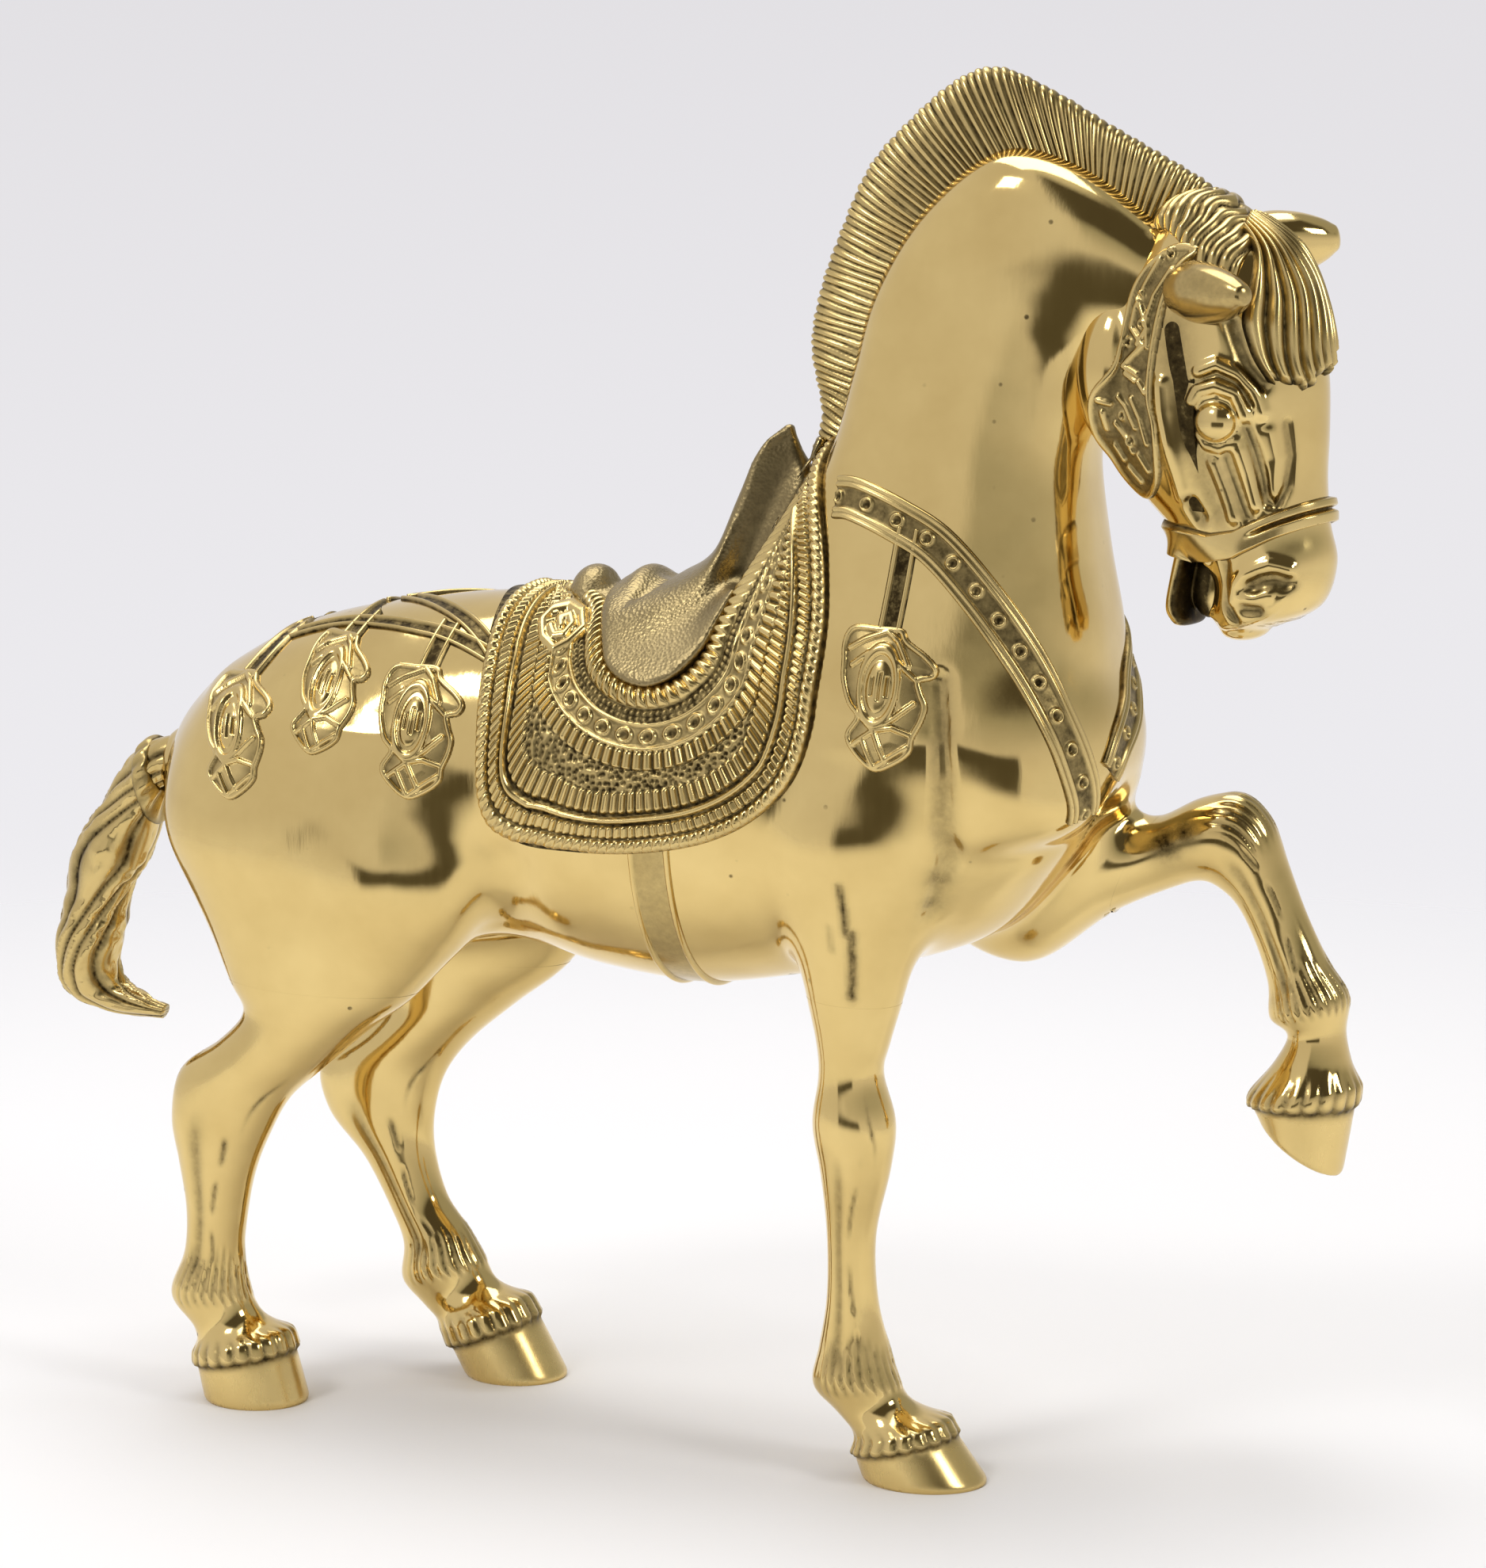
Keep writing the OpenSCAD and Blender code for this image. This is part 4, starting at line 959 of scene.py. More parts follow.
def pits(u, v, rng, step, depth, size):
    """Small dents at jittered places of a square pattern, repeated every 64 steps."""
    jitter = rng.uniform(0.15, 0.85, (64, 64, 2))
    iu, iv = np.floor(u / step).astype(int), np.floor(v / step).astype(int)
    near = np.full(u.shape, np.inf)
    for du in (-1, 0, 1):
        for dv in (-1, 0, 1):
            j = jitter[(iu + du) % 64, (iv + dv) % 64]
            far = np.hypot((iu + du + j[..., 0]) * step - u, (iv + dv + j[..., 1]) * step - v)
            near = np.minimum(near, far)
    return -depth * bell(near, size)


def cloth_edges():
    """Outer and inner edge of the cloth all round, in even steps on the body."""
    right = np.array([o + i for o, i in CLOTH_EDGES], float)
    left = right[-2:0:-1] * (1, -1, 1, 1, -1, 1)
    loop = np.vstack([right, left])
    ring = smoothed(np.vstack([loop[-1:], loop, loop[:2]]), EDGE_STEPS)
    ring = ring[EDGE_STEPS:EDGE_STEPS * (len(loop) + 1)]
    ring = np.vstack([ring, ring[:1]])
    far = lengths(0.6 * ring[:, :3] + 0.4 * ring[:, 3:])
    count = int(far[-1] / CLOTH_PITCH)
    ring = picked(np.arange(count) * far[-1] / count, far, ring)
    return [settled(body_grid, body_skin, edge) for edge in (ring[:, :3], ring[:, 3:])]


def cloth_base(outer, inner):
    """Rows of places on the body, from the outer edge of the cloth to the inner one."""
    width = np.linalg.norm(outer - inner, axis=1)
    width = width + (width / 45) ** 2
    spare = np.maximum(width - BANDS_OUTER - BANDS_INNER, 0.5)
    squeeze = np.minimum(width / (BANDS_OUTER + BANDS_INNER + 0.5), 1)
    between = np.linspace(0, 1, FIELD_ROWS)[1:-1, None]
    o = np.concatenate([np.arange(0, BANDS_OUTER, ROW_PITCH)[:, None] * squeeze,
                        BANDS_OUTER * squeeze + between * spare,
                        width - np.arange(0, BANDS_INNER, ROW_PITCH)[::-1, None] * squeeze])
    base = outer + (inner - outer) * (o / width)[..., None]
    lift = np.stack([0 * base[..., 0], base[..., 1], base[..., 2] - BACK_MIDDLE_Z], -1)
    lift /= np.linalg.norm(lift, axis=-1, keepdims=True)
    start = (base + 14 * lift).reshape(-1, 3)
    return traced(body_grid, body_skin, start, -lift.reshape(-1, 3)).reshape(base.shape)


def cloth_distances(x, z):
    """Distances from the outer edge of the cloth and from the flap, with the bands fitted between them."""
    from_edge = -outline_distance(x, z, rounded_outline(CLOTH_OUTLINE, 6))
    corner = joined(line_distance(x, z, CLOTH_REAR), line_distance(x, z, CLOTH_LOWER), 24)
    rear = 1 - rising(-12, 6, x)
    from_edge = from_edge * (1 - rear) + (corner - corner[:1]) * rear
    from_flap = outline_distance(x, z, rounded_outline(FLAP, 6))
    from_edge, from_flap = from_edge - from_edge[:1], from_flap - from_flap[-1:]
    spare = (from_edge[-1:] + from_flap[:1]) / 2 - BORDER - FLAP_BORDER
    squeeze = np.clip(spare / (BANDS_OUTER + BANDS_INNER - BORDER - FLAP_BORDER), 0.05, 1)
    fitted = lambda far, border: np.where(far < border, far, border + (far - border) / squeeze)
    return fitted(from_edge, BORDER), fitted(from_flap, FLAP_BORDER)


def cloth_piece():
    outer, inner = cloth_edges()
    base = cloth_base(outer, inner)
    x, z = base[..., 0], base[..., 2]
    up = ways(body_grid, body_skin, base)
    edges_along = [np.cumsum(np.linalg.norm(np.diff(edge, axis=0, prepend=edge[-1:]), axis=1))
                   for edge in (inner, outer)]

    def run(place, step):
        along = (1 - place) * edges_along[0] + place * edges_along[1]
        return np.broadcast_to(along * round(along[-1] / step) / along[-1], x.shape)

    from_edge, from_flap = cloth_distances(x, z)
    h = cloth_height(run, from_edge, from_flap)
    rough = FIELD_H + pits(x, z, np.random.default_rng(7), *FIELD_PITS)
    h = np.where((from_edge > BANDS_OUTER) & (from_flap > BANDS_INNER), rough, h)
    for line in SCROLL:
        far = np.clip(line_distance(x, z, line), 0, SCROLL_HALF)
        h = np.maximum(h, 0.9 + 1.9 * arc(far, SCROLL_HALF))
    rim = np.stack([base[-1] - up[-1] * CLOTH_SINK, base[0] - up[0] * CLOTH_SINK])
    points = np.concatenate([base + up * h[..., None], rim]).reshape(-1, 3)
    rows, count = len(base) + 2, base.shape[1]
    quads = grid_quads(rows + 1, count, wrap=True) % (rows * count)
    mask = np.concatenate([np.clip((1.7 - h) / 0.9, 0, 1).ravel(), np.ones(2 * count)])
    add_piece("saddle_cloth", worked, points, quads, masks={"recess": mask})


cloth_piece()


def capped_tube(rings):
    """Points and quads of a tube through rings of points, closed at both ends."""
    rows, columns = rings.shape[:2]
    i = np.arange(columns // 2 - 1)
    cap = np.stack([i, i + 1, columns - 2 - i, columns - 1 - i], 1)
    points = rings.reshape(-1, 3)
    quads = np.vstack([grid_quads(rows, columns, wrap=True), cap[:, ::-1], (rows - 1) * columns + cap])
    return points, outward(points, quads)


def on_other_grid(grid, other, field):
    """Field of one grid, sampled on another."""
    x, y, z = np.meshgrid(grid.x, grid.y, grid.z, indexing="ij")
    return sample(other, field, np.stack([x.ravel(), y.ravel(), z.ravel()], 1)).reshape(grid.shape)


# Saddle: seat with a tall pommel, a cantle of three lobes and side flaps

SEAT = Limb([
    [-24, 199.2, -24, 184.2, 0, 6], [-16, 201.2, -16, 182.2, 0, 11], [-4, 202.2, -4, 182.2, 0, 20],
    [8, 205.2, 8, 184.2, 0, 22], [18, 213.2, 18, 188.2, 0, 18], [22.5, 225.2, 25, 194.2, 0, 13],
    [27.5, 236.2, 35, 202.2, 0, 8.5], [34, 241.2, 43, 212.2, 0, 5]])
CANTLE = [((-15, 0, 198.7), (6, 8.5, 7.5)), ((-1.5, 0, 197.8), (5, 14, 9))]
POMMEL_HOLLOW = [(27, -13, 209), (29.5, -10.5, 219), (32.5, -8, 228), (36, -5.5, 235.5)]
POMMEL_RIM = [(23, -6.5, 214.6), (25.4, -5.5, 225.7), (26.6, -4.5, 232), (29.5, -3, 237.6), (33.4, -1, 240.1)]
POMMEL_STRIP = [(33.5, -13.5, 212), (34.5, -12, 219.4), (36.8, -10, 226.6), (40.5, -7, 233.4),
                (42.6, -4, 237.7)]
POMMEL_BEADS = [(36, -14.5, 213.5), (37.8, -12.6, 221.2), (41.1, -10, 227.9), (43.8, -7, 234)]
BEAD_STEP, BEAD_R = 2.6, 1.45
# Grooves of the seat: in front of the cantle roll, and between the roll and the petal behind it
SEAT_GROOVES = [
    ([(0.5, -17, 197), (3.5, -12, 202), (5.5, -5, 205.5), (5.5, 0, 206)], 2.4, -2.0),
    ([(-8, -13, 197), (-8.6, -7, 202), (-8.8, 0, 204)], 1.8, -1.6)]


def saddle_piece():
    grid = Grid((-34, -37, 174), (50, 37, 248), 0.6)
    skin = on_other_grid(grid, body_grid, body_skin)
    x, z = np.meshgrid(grid.x, grid.z, indexing="ij")
    edge = outline_distance(x, z, rounded_outline(FLAP))[:, None, :]
    flap = -joined(-(skin - 4.0), -np.broadcast_to(edge, grid.shape), 2.0)
    field = joined(SEAT.field(grid, cap=0.5), flap, 7)
    for middle, half in CANTLE:
        field = joined(field, oval(grid, middle, half), 1.6)
    x, y, z = np.meshgrid(grid.x, grid.y, grid.z, indexing="ij")
    away = np.abs(y)
    strip = even(np.array(POMMEL_STRIP) * (1, -1, 1), 3)[0]
    field = joined(field, near_line(x, away, z, strip) - 2.0, 3.0)
    beads, _ = even(np.array(POMMEL_BEADS) * (1, -1, 1), BEAD_STEP)
    field = joined(field, near_line(x, away, z, beads) - 0.9, 1.5)
    field = blurred(field, 2)
    for bead in beads:
        far = np.sqrt((x - bead[0]) ** 2 + (away - bead[1]) ** 2 + (z - bead[2]) ** 2)
        field = joined(field, far - BEAD_R, 0.3)
    shaped = [(POMMEL_HOLLOW, 5.0, -3.6), (POMMEL_RIM, 1.3, 1.3)] + SEAT_GROOVES
    for line, radius, depth in shaped:
        for one in both_sides(line):
            press(grid, field, one, radius, depth)
    points, quads, normals = skin_of(grid, field, (-skin - 1.0,))
    right = points * np.where(points[:, 1:2] > 0, (1, -1, 1), (1, 1, 1))
    face = bell(near_line(*right.T, POMMEL_HOLLOW), 6)
    bar = bell(near_line(*right.T, POMMEL_STRIP), 3)
    groove = bell(near_line(*right.T, np.array(POMMEL_BEADS) - (1.4, 0.8, 0.4)), 0.9)
    masks = {"recess": np.maximum(0.75 * face, groove), "polish": np.clip(face + bar, 0, 1)}
    add_piece("saddle", satin, points, quads, normals, masks)


saddle_piece()


# Mane: upright crest with ridges across it

MANE = [
    [37, 231, 50, 232, 0, 6], [41.5, 243, 56, 242, 0, 4.5], [39, 259, 60, 258, 0, 5],
    [41, 272, 63, 270, 0, 5], [46, 286, 68, 280, 0, 5], [53, 301, 75, 288, 0, 5],
    [63, 312, 82, 294, 0, 5], [74, 321, 89, 298, 0, 5], [84, 324, 96, 298, 0, 5],
    [97, 319, 104, 296, 0, 5], [110, 312, 110, 293, 0, 5], [129, 302, 122, 284, 0, 5],
    [141, 295, 132, 280, 0, 4.5], [148, 291, 138, 282, 0, 3]]
MANE_RIDGES = 92


def ridge_wave(phase, sharp=0.55):
    """Rounded ridges with narrow grooves between them, from 0 in the groove to 1."""
    return np.abs(np.cos(np.pi * phase)) ** sharp


# Mane on the poll of the straight head: [x, half width], and the pitch of its ridges
POLL_MANE = np.array([(122, 4.5), (127, 6.5), (134, 10.5), (140, 13.5), (146, 15.5), (153, 14)])
POLL_PITCH = 2.7
# Depth of the combed locks below the skin
HAIR_SINK = 0.9


def poll_shell():
    rows, columns = 121, 101
    x = np.linspace(POLL_MANE[0, 0], POLL_MANE[-1, 0], rows)[:, None]
    t = np.linspace(-1, 1, columns)[None, :]
    y = t * np.interp(x, POLL_MANE[:, 0], POLL_MANE[:, 1])
    x = x - 0.35 * np.abs(y) * (1 - 0.25 * np.abs(t))
    begin = np.stack([x, y, np.full(x.shape, head_grid.z[-1] - 0.5)], -1).reshape(-1, 3)
    base = traced(head_grid, head_skin, begin, np.array([[0, 0, -1.0]]), 60).reshape(x.shape + (3,))
    wave = ridge_wave((x + 0.35 * np.abs(y)) / POLL_PITCH + 0.12 * np.sin(0.9 * y))
    edge = np.clip(np.minimum(1 - np.abs(t), np.linspace(0, 1, rows)[:, None] * 2) / 0.14, 0, 1) ** 0.5
    edge = edge * np.clip((1 - np.linspace(0, 1, rows)[:, None]) / 0.05, 0, 1) ** 0.5
    h = edge * (0.7 + 1.3 * wave) - 0.3
    points, quads = raised(head_grid, head_skin, base, h, HAIR_SINK)
    return turned(points), quads, shell_mask(np.clip(1.2 - 1.2 * wave, 0, 1))


def mane_piece():
    s = smoothed(MANE, 60)
    middle = 0.6 * s[:, 0:2] + 0.4 * s[:, 2:4]
    far = lengths(middle)
    along = np.linspace(0, far[-1], MANE_RIDGES * 10 + 1)
    s = picked(along, far, s)
    angle = np.linspace(-0.22, np.pi / 2 - 0.03, 26)
    rise = np.where(angle < 0, angle * 0.8, np.sin(angle))
    wide = np.where(angle < 0, 1.0, np.cos(np.maximum(angle, 0)) ** 0.75)
    ridge = np.arange(len(along))[:, None] / 10
    low_part = np.clip(1.2 - 2.2 * along / far[-1], 0, 1)[:, None]
    lean = -3.2 * low_part * rise[None, :] + 0.13 * np.sin(ridge * 0.9 + 2.4 * rise[None, :])
    wave = ridge_wave(ridge + lean)
    wave = wave * (0.88 + 0.12 * np.sin(ridge * 2.3))
    grain = np.sin(ridge * 5.1 * 2 + 4 * rise) * np.sin(ridge * 3.3 + 23 * rise)
    root = np.clip(1 - (rise[None, :] - 0.05) / 0.10, 0, 1)
    lift = 1.0 * (wave - 1) * (1 - root) + root * (0.35 * grain - 0.2)
    ends = np.clip(np.minimum(along, along[-1] - along) / 5, 0.15, 1)[:, None] ** 0.5
    out = s[:, 0:2] - s[:, 2:4]
    tall = np.linalg.norm(out, axis=1)
    rings = np.zeros((len(along), 2 * len(angle), 3))
    for side in (RIGHT, LEFT):
        reach = rise[None, :] * tall[:, None] * (0.72 + 0.28 * ends) + lift * np.maximum(np.sin(angle), 0)
        half = wide[None, :] * s[:, 5:6] * ends + lift * np.cos(angle)
        place = s[:, None, 2:4] + out[:, None] / tall[:, None, None] * reach[..., None]
        sheet = np.stack([place[..., 0], side * half, place[..., 1]], -1)
        columns = slice(0, len(angle)) if side == RIGHT else slice(2 * len(angle) - 1, len(angle) - 1, -1)
        rings[:, columns] = sheet
    points, quads = capped_tube(rings)
    mask = np.zeros((len(along), 2 * len(angle)))
    mask[:, :len(angle)] = np.clip(1.15 - wave * 1.3, 0, 1)
    mask[:, len(angle):] = mask[:, len(angle) - 1::-1]
    points, quads, mask = gathered([(points, quads, mask.ravel()), poll_shell()])
    add_piece("mane", worked, points, quads, masks={"recess": mask})


mane_piece()


# Tail: twisted wavy strands round a bent limb

TAIL_STRANDS = 9


def tail_piece():
    count, columns = 300, 96
    limb = tail_limb
    at = np.linspace(0, len(limb.depth) - 1, count)
    pick = lambda v: np.interp(at, np.arange(len(v)), v)
    middle = np.stack([pick(limb.middle[:, 0]), pick(limb.middle[:, 1])], 1)
    axis = np.stack([pick(limb.axis[:, 0]), pick(limb.axis[:, 1])], 1)
    axis /= np.linalg.norm(axis, axis=1, keepdims=True)
    depth, width = pick(limb.depth), pick(limb.width)
    far = lengths(middle)[:, None]
    a = np.linspace(0, 2 * np.pi, columns, endpoint=False)[None, :] + 0.01
    twist = a * TAIL_STRANDS / (2 * np.pi) + far / 19 + 0.42 * np.sin(far / 6.5 + 2 * a)
    strand = ridge_wave(twist)
    beads = 0.86 + 0.14 * np.sin(far * 0.7 + 2.4 * np.floor(twist) + np.sin(far / 3))
    bulge = 0.9 * np.sin(far / 4.1 + a)
    fade = np.clip(far / 12, 0.2, 1) * np.clip((far[-1] - far) / 9, 0.25, 1)
    lift = fade * (1.7 * (strand * beads - 0.75) + bulge * 0.8)
    along_axis = (depth[:, None] + lift) * np.cos(a)
    aside = (width[:, None] + lift) * np.sin(a)
    place = middle[:, None] + axis[:, None] * along_axis[..., None]
    rings = np.stack([place[..., 0], aside, place[..., 1]], -1)
    points, quads = capped_tube(rings)
    mask = np.clip(1.15 - strand * 1.3, 0, 1)
    add_piece("tail", worked, points, quads, masks={"recess": mask})


tail_piece()


# Ears: blunt cones with a hollow

EAR_PROFILE = [[0, 0.9, 0.8], [0.24, 1, 1], [0.57, 0.86, 0.9], [0.86, 0.62, 0.6], [1, 0.4, 0.36]]
EAR_LEN, EAR_HALF_T, EAR_HALF_W = 21, 5, 6
# Each ear, drawn on the right side of the straight head: side, base, rise, spread and roll in degrees,
# length, fullness and an even darkening of its whole colour
EARS = {"right_ear": (RIGHT, (137, -14, 276.3), 2, 28, -60, 1.1, 1.22, 0.45),
        "left_ear": (LEFT, (139.5, -10, 284), 8, 32, 50, 0.93, 1.45, 0)}


def ear_way(points, rise, spread, roll):
    """Directions of an ear along +X, turned as it stands on the right side of the straight head."""
    x, y, z = points.T
    y, z = spun(y, z, math.radians(roll))
    x, z = spun(x, z, math.radians(rise))
    x, y = spun(x, y, -math.radians(spread))
    return np.stack([x, y, z], 1)


def ear_pieces():
    grid = Grid((-4, -9, -8), (25, 9, 8), 0.35)
    leaf = Limb([[q * EAR_LEN, t * EAR_HALF_T, q * EAR_LEN, -t * EAR_HALF_T, 0, w * EAR_HALF_W]
                 for q, t, w in EAR_PROFILE])
    hollow = Limb([[7 + q * 12.5, 5.6 + t * 3.6, 7 + q * 12.5, 5.6 - t * 3.6, 0, w * 4]
                   for q, t, w in EAR_PROFILE])
    inside = hollow.field(grid, cap=0.6)
    points, quads, normals = skin_of(grid, blurred(-joined(-leaf.field(grid, cap=0.6), inside, 1.0), 2))
    mask = np.clip(1 - np.abs(sample(grid, inside, points)) / 0.8, 0, 1)
    for node, (side, base, rise, spread, roll, length, full, soil) in EARS.items():
        flip = np.array((1, -side, 1))
        faces = quads if side == RIGHT else quads[:, ::-1]
        size = np.array((length, full, full))
        normal = normals / size
        normal /= np.linalg.norm(normal, axis=1, keepdims=True)
        place = ear_way(points * size, rise, spread, roll) + base
        normal = turned_way(ear_way(normal, rise, spread, roll) * flip)
        masks = {"recess": np.maximum(0.6 * mask, soil)}
        add_piece(node, polished, turned(place * flip), faces, normal, masks)


ear_pieces()


# Forelock: combed lock on the forehead, drawn between four edges seen from the front: [y, z]

LOCK_TOP = [(-6.5, 289), (0, 291.5), (6, 289)]
LOCK_LEFT = [(-6.5, 289), (-10.5, 281.5), (-13, 275.5), (-14.3, 271), (-14.5, 266), (-14, 261.5),
             (-12.6, 257.2)]
LOCK_RIGHT = [(6, 289), (10.5, 285), (13.5, 279), (14.3, 273), (12.8, 267)]
LOCK_BOTTOM = [(-12.6, 257.2), (-8.5, 254.9), (-4.5, 255.7), (2.2, 258.2), (7.4, 262.2), (12.8, 267)]
LOCK_STRANDS = 11


def spanned(top, bottom, left, right):
    """Grid of points between four edges, from the top to the bottom and from the left to the right."""
    top, bottom, left, right = (np.array(e) for e in (top, bottom, left, right))
    s, t = np.linspace(0, 1, len(top))[None, :, None], np.linspace(0, 1, len(left))[:, None, None]
    flat = (1 - s) * (1 - t) * top[0] + s * (1 - t) * top[-1] + (1 - s) * t * bottom[0] + s * t * bottom[-1]
    return (1 - t) * top + t * bottom + (1 - s) * left[:, None] + s * right[:, None] - flat


def stepped(line, count):
    """A given number of even steps along a smooth line."""
    fine = smoothed(line, LINE_STEPS)
    far = lengths(fine)
    return picked(np.linspace(0, far[-1], count), far, fine)


def forelock_piece():
    rows, columns = 110, 150
    y, z = np.moveaxis(spanned(stepped(LOCK_TOP, columns), stepped(LOCK_BOTTOM, columns),
                               stepped(LOCK_LEFT, rows), stepped(LOCK_RIGHT, rows)), -1, 0)
    begin = np.stack([np.full(y.shape, head_grid.x[-1] - 0.5), y, z], -1).reshape(-1, 3)
    found = traced(head_grid, head_skin, begin, np.array([[-1.0, 0, 0]]), 80)
    found[:, 0] = np.maximum(found[:, 0], 140)
    base = settled(head_grid, head_skin, found.reshape(y.shape + (3,)), 12)
    t, s = np.meshgrid(np.linspace(0, 1, rows), np.linspace(0, 1, columns), indexing="ij")
    phase = LOCK_STRANDS * (s + 0.035 * np.sin(2 * math.pi * (1.4 * t + 0.1)) * np.sin(math.pi * s)) + 0.5
    short = 0.05 * np.abs(np.sin(2.1 * np.floor(phase)))
    edge = np.clip(np.minimum(s, 1 - s) / 0.035, 0, 1) ** 0.5 * np.clip((1 - short - t) / 0.05, 0, 1) ** 0.5
    h = edge * (1.0 + 2.1 * ridge_wave(phase, 0.85)) - 0.4
    points, quads = raised(head_grid, head_skin, base, h, HAIR_SINK)
    mask = shell_mask(np.clip(1.3 - (h + 0.4) / 2.3, 0, 1))
    add_piece("forelock", worked, turned(points), quads, masks={"recess": mask})


forelock_piece()


# Straps: breast collar, crupper, girth, noseband and the band on the dock

def rail(v, place, half):
    """Raised line along a strap at a given distance from its middle."""
    return arc(np.clip(np.abs(v - place), 0, half), half)


COLLAR_RIGHT = [(54, -24, 228), (60, -23, 227), (70, -26, 223.5), (80, -27, 218), (90.5, -26.5, 207),
                (99.5, -25.6, 194), (107, -25.5, 181), (110.5, -24, 173), (113, -21, 163), (113, -19.5, 157)]
COLLAR_LEFT = [(54, 24, 228), (60, 23, 227), (70, 26, 223.5), (80, 27, 218), (90.5, 26.5, 208),
               (99, 24.5, 199), (107, 17, 190.5), (113, 8.5, 184.5), (116.6, 1.4, 179.3),
               (117.1, -7.4, 173.4), (116, -12, 167)]
COLLAR_HALF, COLLAR_RING_STEP = 5, 8.2


def collar_height(u, v):
    h = 0.35 + 0 * u
    for place in (-4.3, -2.9, 2.9, 4.3):
        h = np.maximum(h, 0.35 + 0.75 * rail(v, place, 0.7))
    ring_u = (u + 3.0) % COLLAR_RING_STEP - COLLAR_RING_STEP / 2
    ring = np.hypot(ring_u, v)
    return h + 0.7 * bell(ring - 1.35, 0.4) - 0.3 * bell(ring, 0.7)


def collar_piece():
    shells = [strap_shell(body_grid, body_skin, line, COLLAR_HALF, collar_height, pitch=0.3, rows=41)
              for line in (COLLAR_RIGHT, COLLAR_LEFT)]
    points, quads, mask = gathered(shells)
    add_piece("breast_collar", worked, points, quads, masks={"recess": mask})


collar_piece()

CRUPPER_HALF = 2.2
CRUPPER_LINE = [(-28, -27), (-43, -22), (-51, -20), (-65, -16), (-75, -13.5), (-90, -13)]
CROUP_LINE = [(-28, -27), (-38, -19.5), (-50, -11), (-64, 0)]


def rail_height(half):
    def height(u, v):
        return 0.15 + 0.85 * np.maximum(rail(v, half - 0.6, 0.6), rail(v, 0.6 - half, 0.6))
    return height


def from_above(line):
    """Line seen from above, set down on the body."""
    start = np.array([(x, y, 240) for x, y in line], float)
    return traced(body_grid, body_skin, start, np.array([[0, 0, -1.0]]))


def crupper_piece():
    shells = []
    for line in (CRUPPER_LINE, CROUP_LINE):
        route = from_above(even(line, 6)[0])
        shell = strap_shell(body_grid, body_skin, route, CRUPPER_HALF, rail_height(CRUPPER_HALF), rows=21)
        shells += [shell, mirrored(shell)]
    points, quads, mask = gathered(shells)
    add_piece("crupper_straps", worked, points, quads, masks={"recess": mask})


crupper_piece()

GIRTH_LINE = [(14, -38.5, 150), (14, -37, 138), (14, -30, 123), (14, -16, 112.5), (14, 0, 109),
              (14, 16, 112.5), (14, 30, 123), (14, 37, 138), (14, 38.5, 150)]
GIRTH_HALF, GIRTH_RAILS = 5.2, 5.0


def girth_piece():
    height = rail_height(GIRTH_RAILS)
    shell = strap_shell(body_grid, body_skin, GIRTH_LINE, GIRTH_HALF, height, pitch=0.5, rows=41)
    points, quads, mask = shell
    add_piece("girth", polished, points, quads, masks={"recess": mask * 0.5})


girth_piece()


def band_shell(grid, field, begin, out, h, sink, low):
    """Closed band round a skin, from rows of places outside it that are drawn in against out."""
    way = np.repeat(-out, begin.shape[1], axis=0)
    base = traced(grid, field, begin.reshape(-1, 3), way).reshape(begin.shape)
    up = ways(grid, field, base)
    top, bottom = base + up * h[..., None], base[:, ::-1] - up[:, ::-1] * sink
    points = np.concatenate([top, bottom], axis=1).reshape(-1, 3)
    count, columns = len(h), 2 * h.shape[1]
    quads = outward(points, grid_quads(count + 1, columns, wrap=True) % (count * columns))
    return points, quads, np.concatenate([low, np.ones_like(low)], axis=1).ravel()


NOSEBAND_SINK, DOCK_SINK = 1.4, 0.7
# Middle of the noseband's height, and half its width, along the head: [x, z, half width]
NOSEBAND = np.array([
    (126, 220.2, 4.2), (142, 219.8, 3.2), (151, 221, 3.2), (157, 223.6, 3.1), (163, 226.6, 2.9),
    (168, 229.4, 2.8)])


def noseband_height(turn, t):
    """Plain band under the jaw that splits in two over the nose; t runs from -1 to 1 across it."""
    over = rising(0.40, 0.62, np.cos(turn))
    edge = np.clip((1 - np.abs(t)) / 0.12, 0, 1) ** 0.5
    split = 1.6 * over * bell(t - 0.12, 0.16)
    round_top = 0.3 * (1 - t**2)
    return edge * (1.9 + round_top - split) - 0.2


def noseband_piece():
    count, rows = 260, 49
    turn = np.linspace(0, 2 * np.pi, count, endpoint=False)
    out = np.stack([np.cos(turn), np.sin(turn), 0 * turn], 1)
    t = np.linspace(-1.06, 1.06, rows)
    reach = np.stack([147 + 19 * np.cos(turn), 14 * np.sin(turn)], 1)
    height = np.interp(reach[:, 0], NOSEBAND[:, 0], NOSEBAND[:, 1])
    half = np.interp(reach[:, 0], NOSEBAND[:, 0], NOSEBAND[:, 2])
    begin = np.zeros((count, rows, 3))
    begin[..., :2] = (np.array((147, 0)) + 23 * out[:, :2])[:, None]
    begin[..., 2] = height[:, None] + half[:, None] * t
    h = noseband_height(turn[:, None], t[None, :])
    low = np.clip(1.1 - h / 1.2, 0, 1)
    points, quads, mask = band_shell(head_grid, head_skin, begin, out, h, NOSEBAND_SINK, low)
    add_piece("noseband", worked, turned(points), quads, masks={"recess": mask})


noseband_piece()


# Band on the dock: its station on the tail, half width, counts of points round and across, and its beads
DOCK_STATION, DOCK_HALF, DOCK_POINTS, DOCK_BEADS = 1.5, 2.3, (240, 25), 14


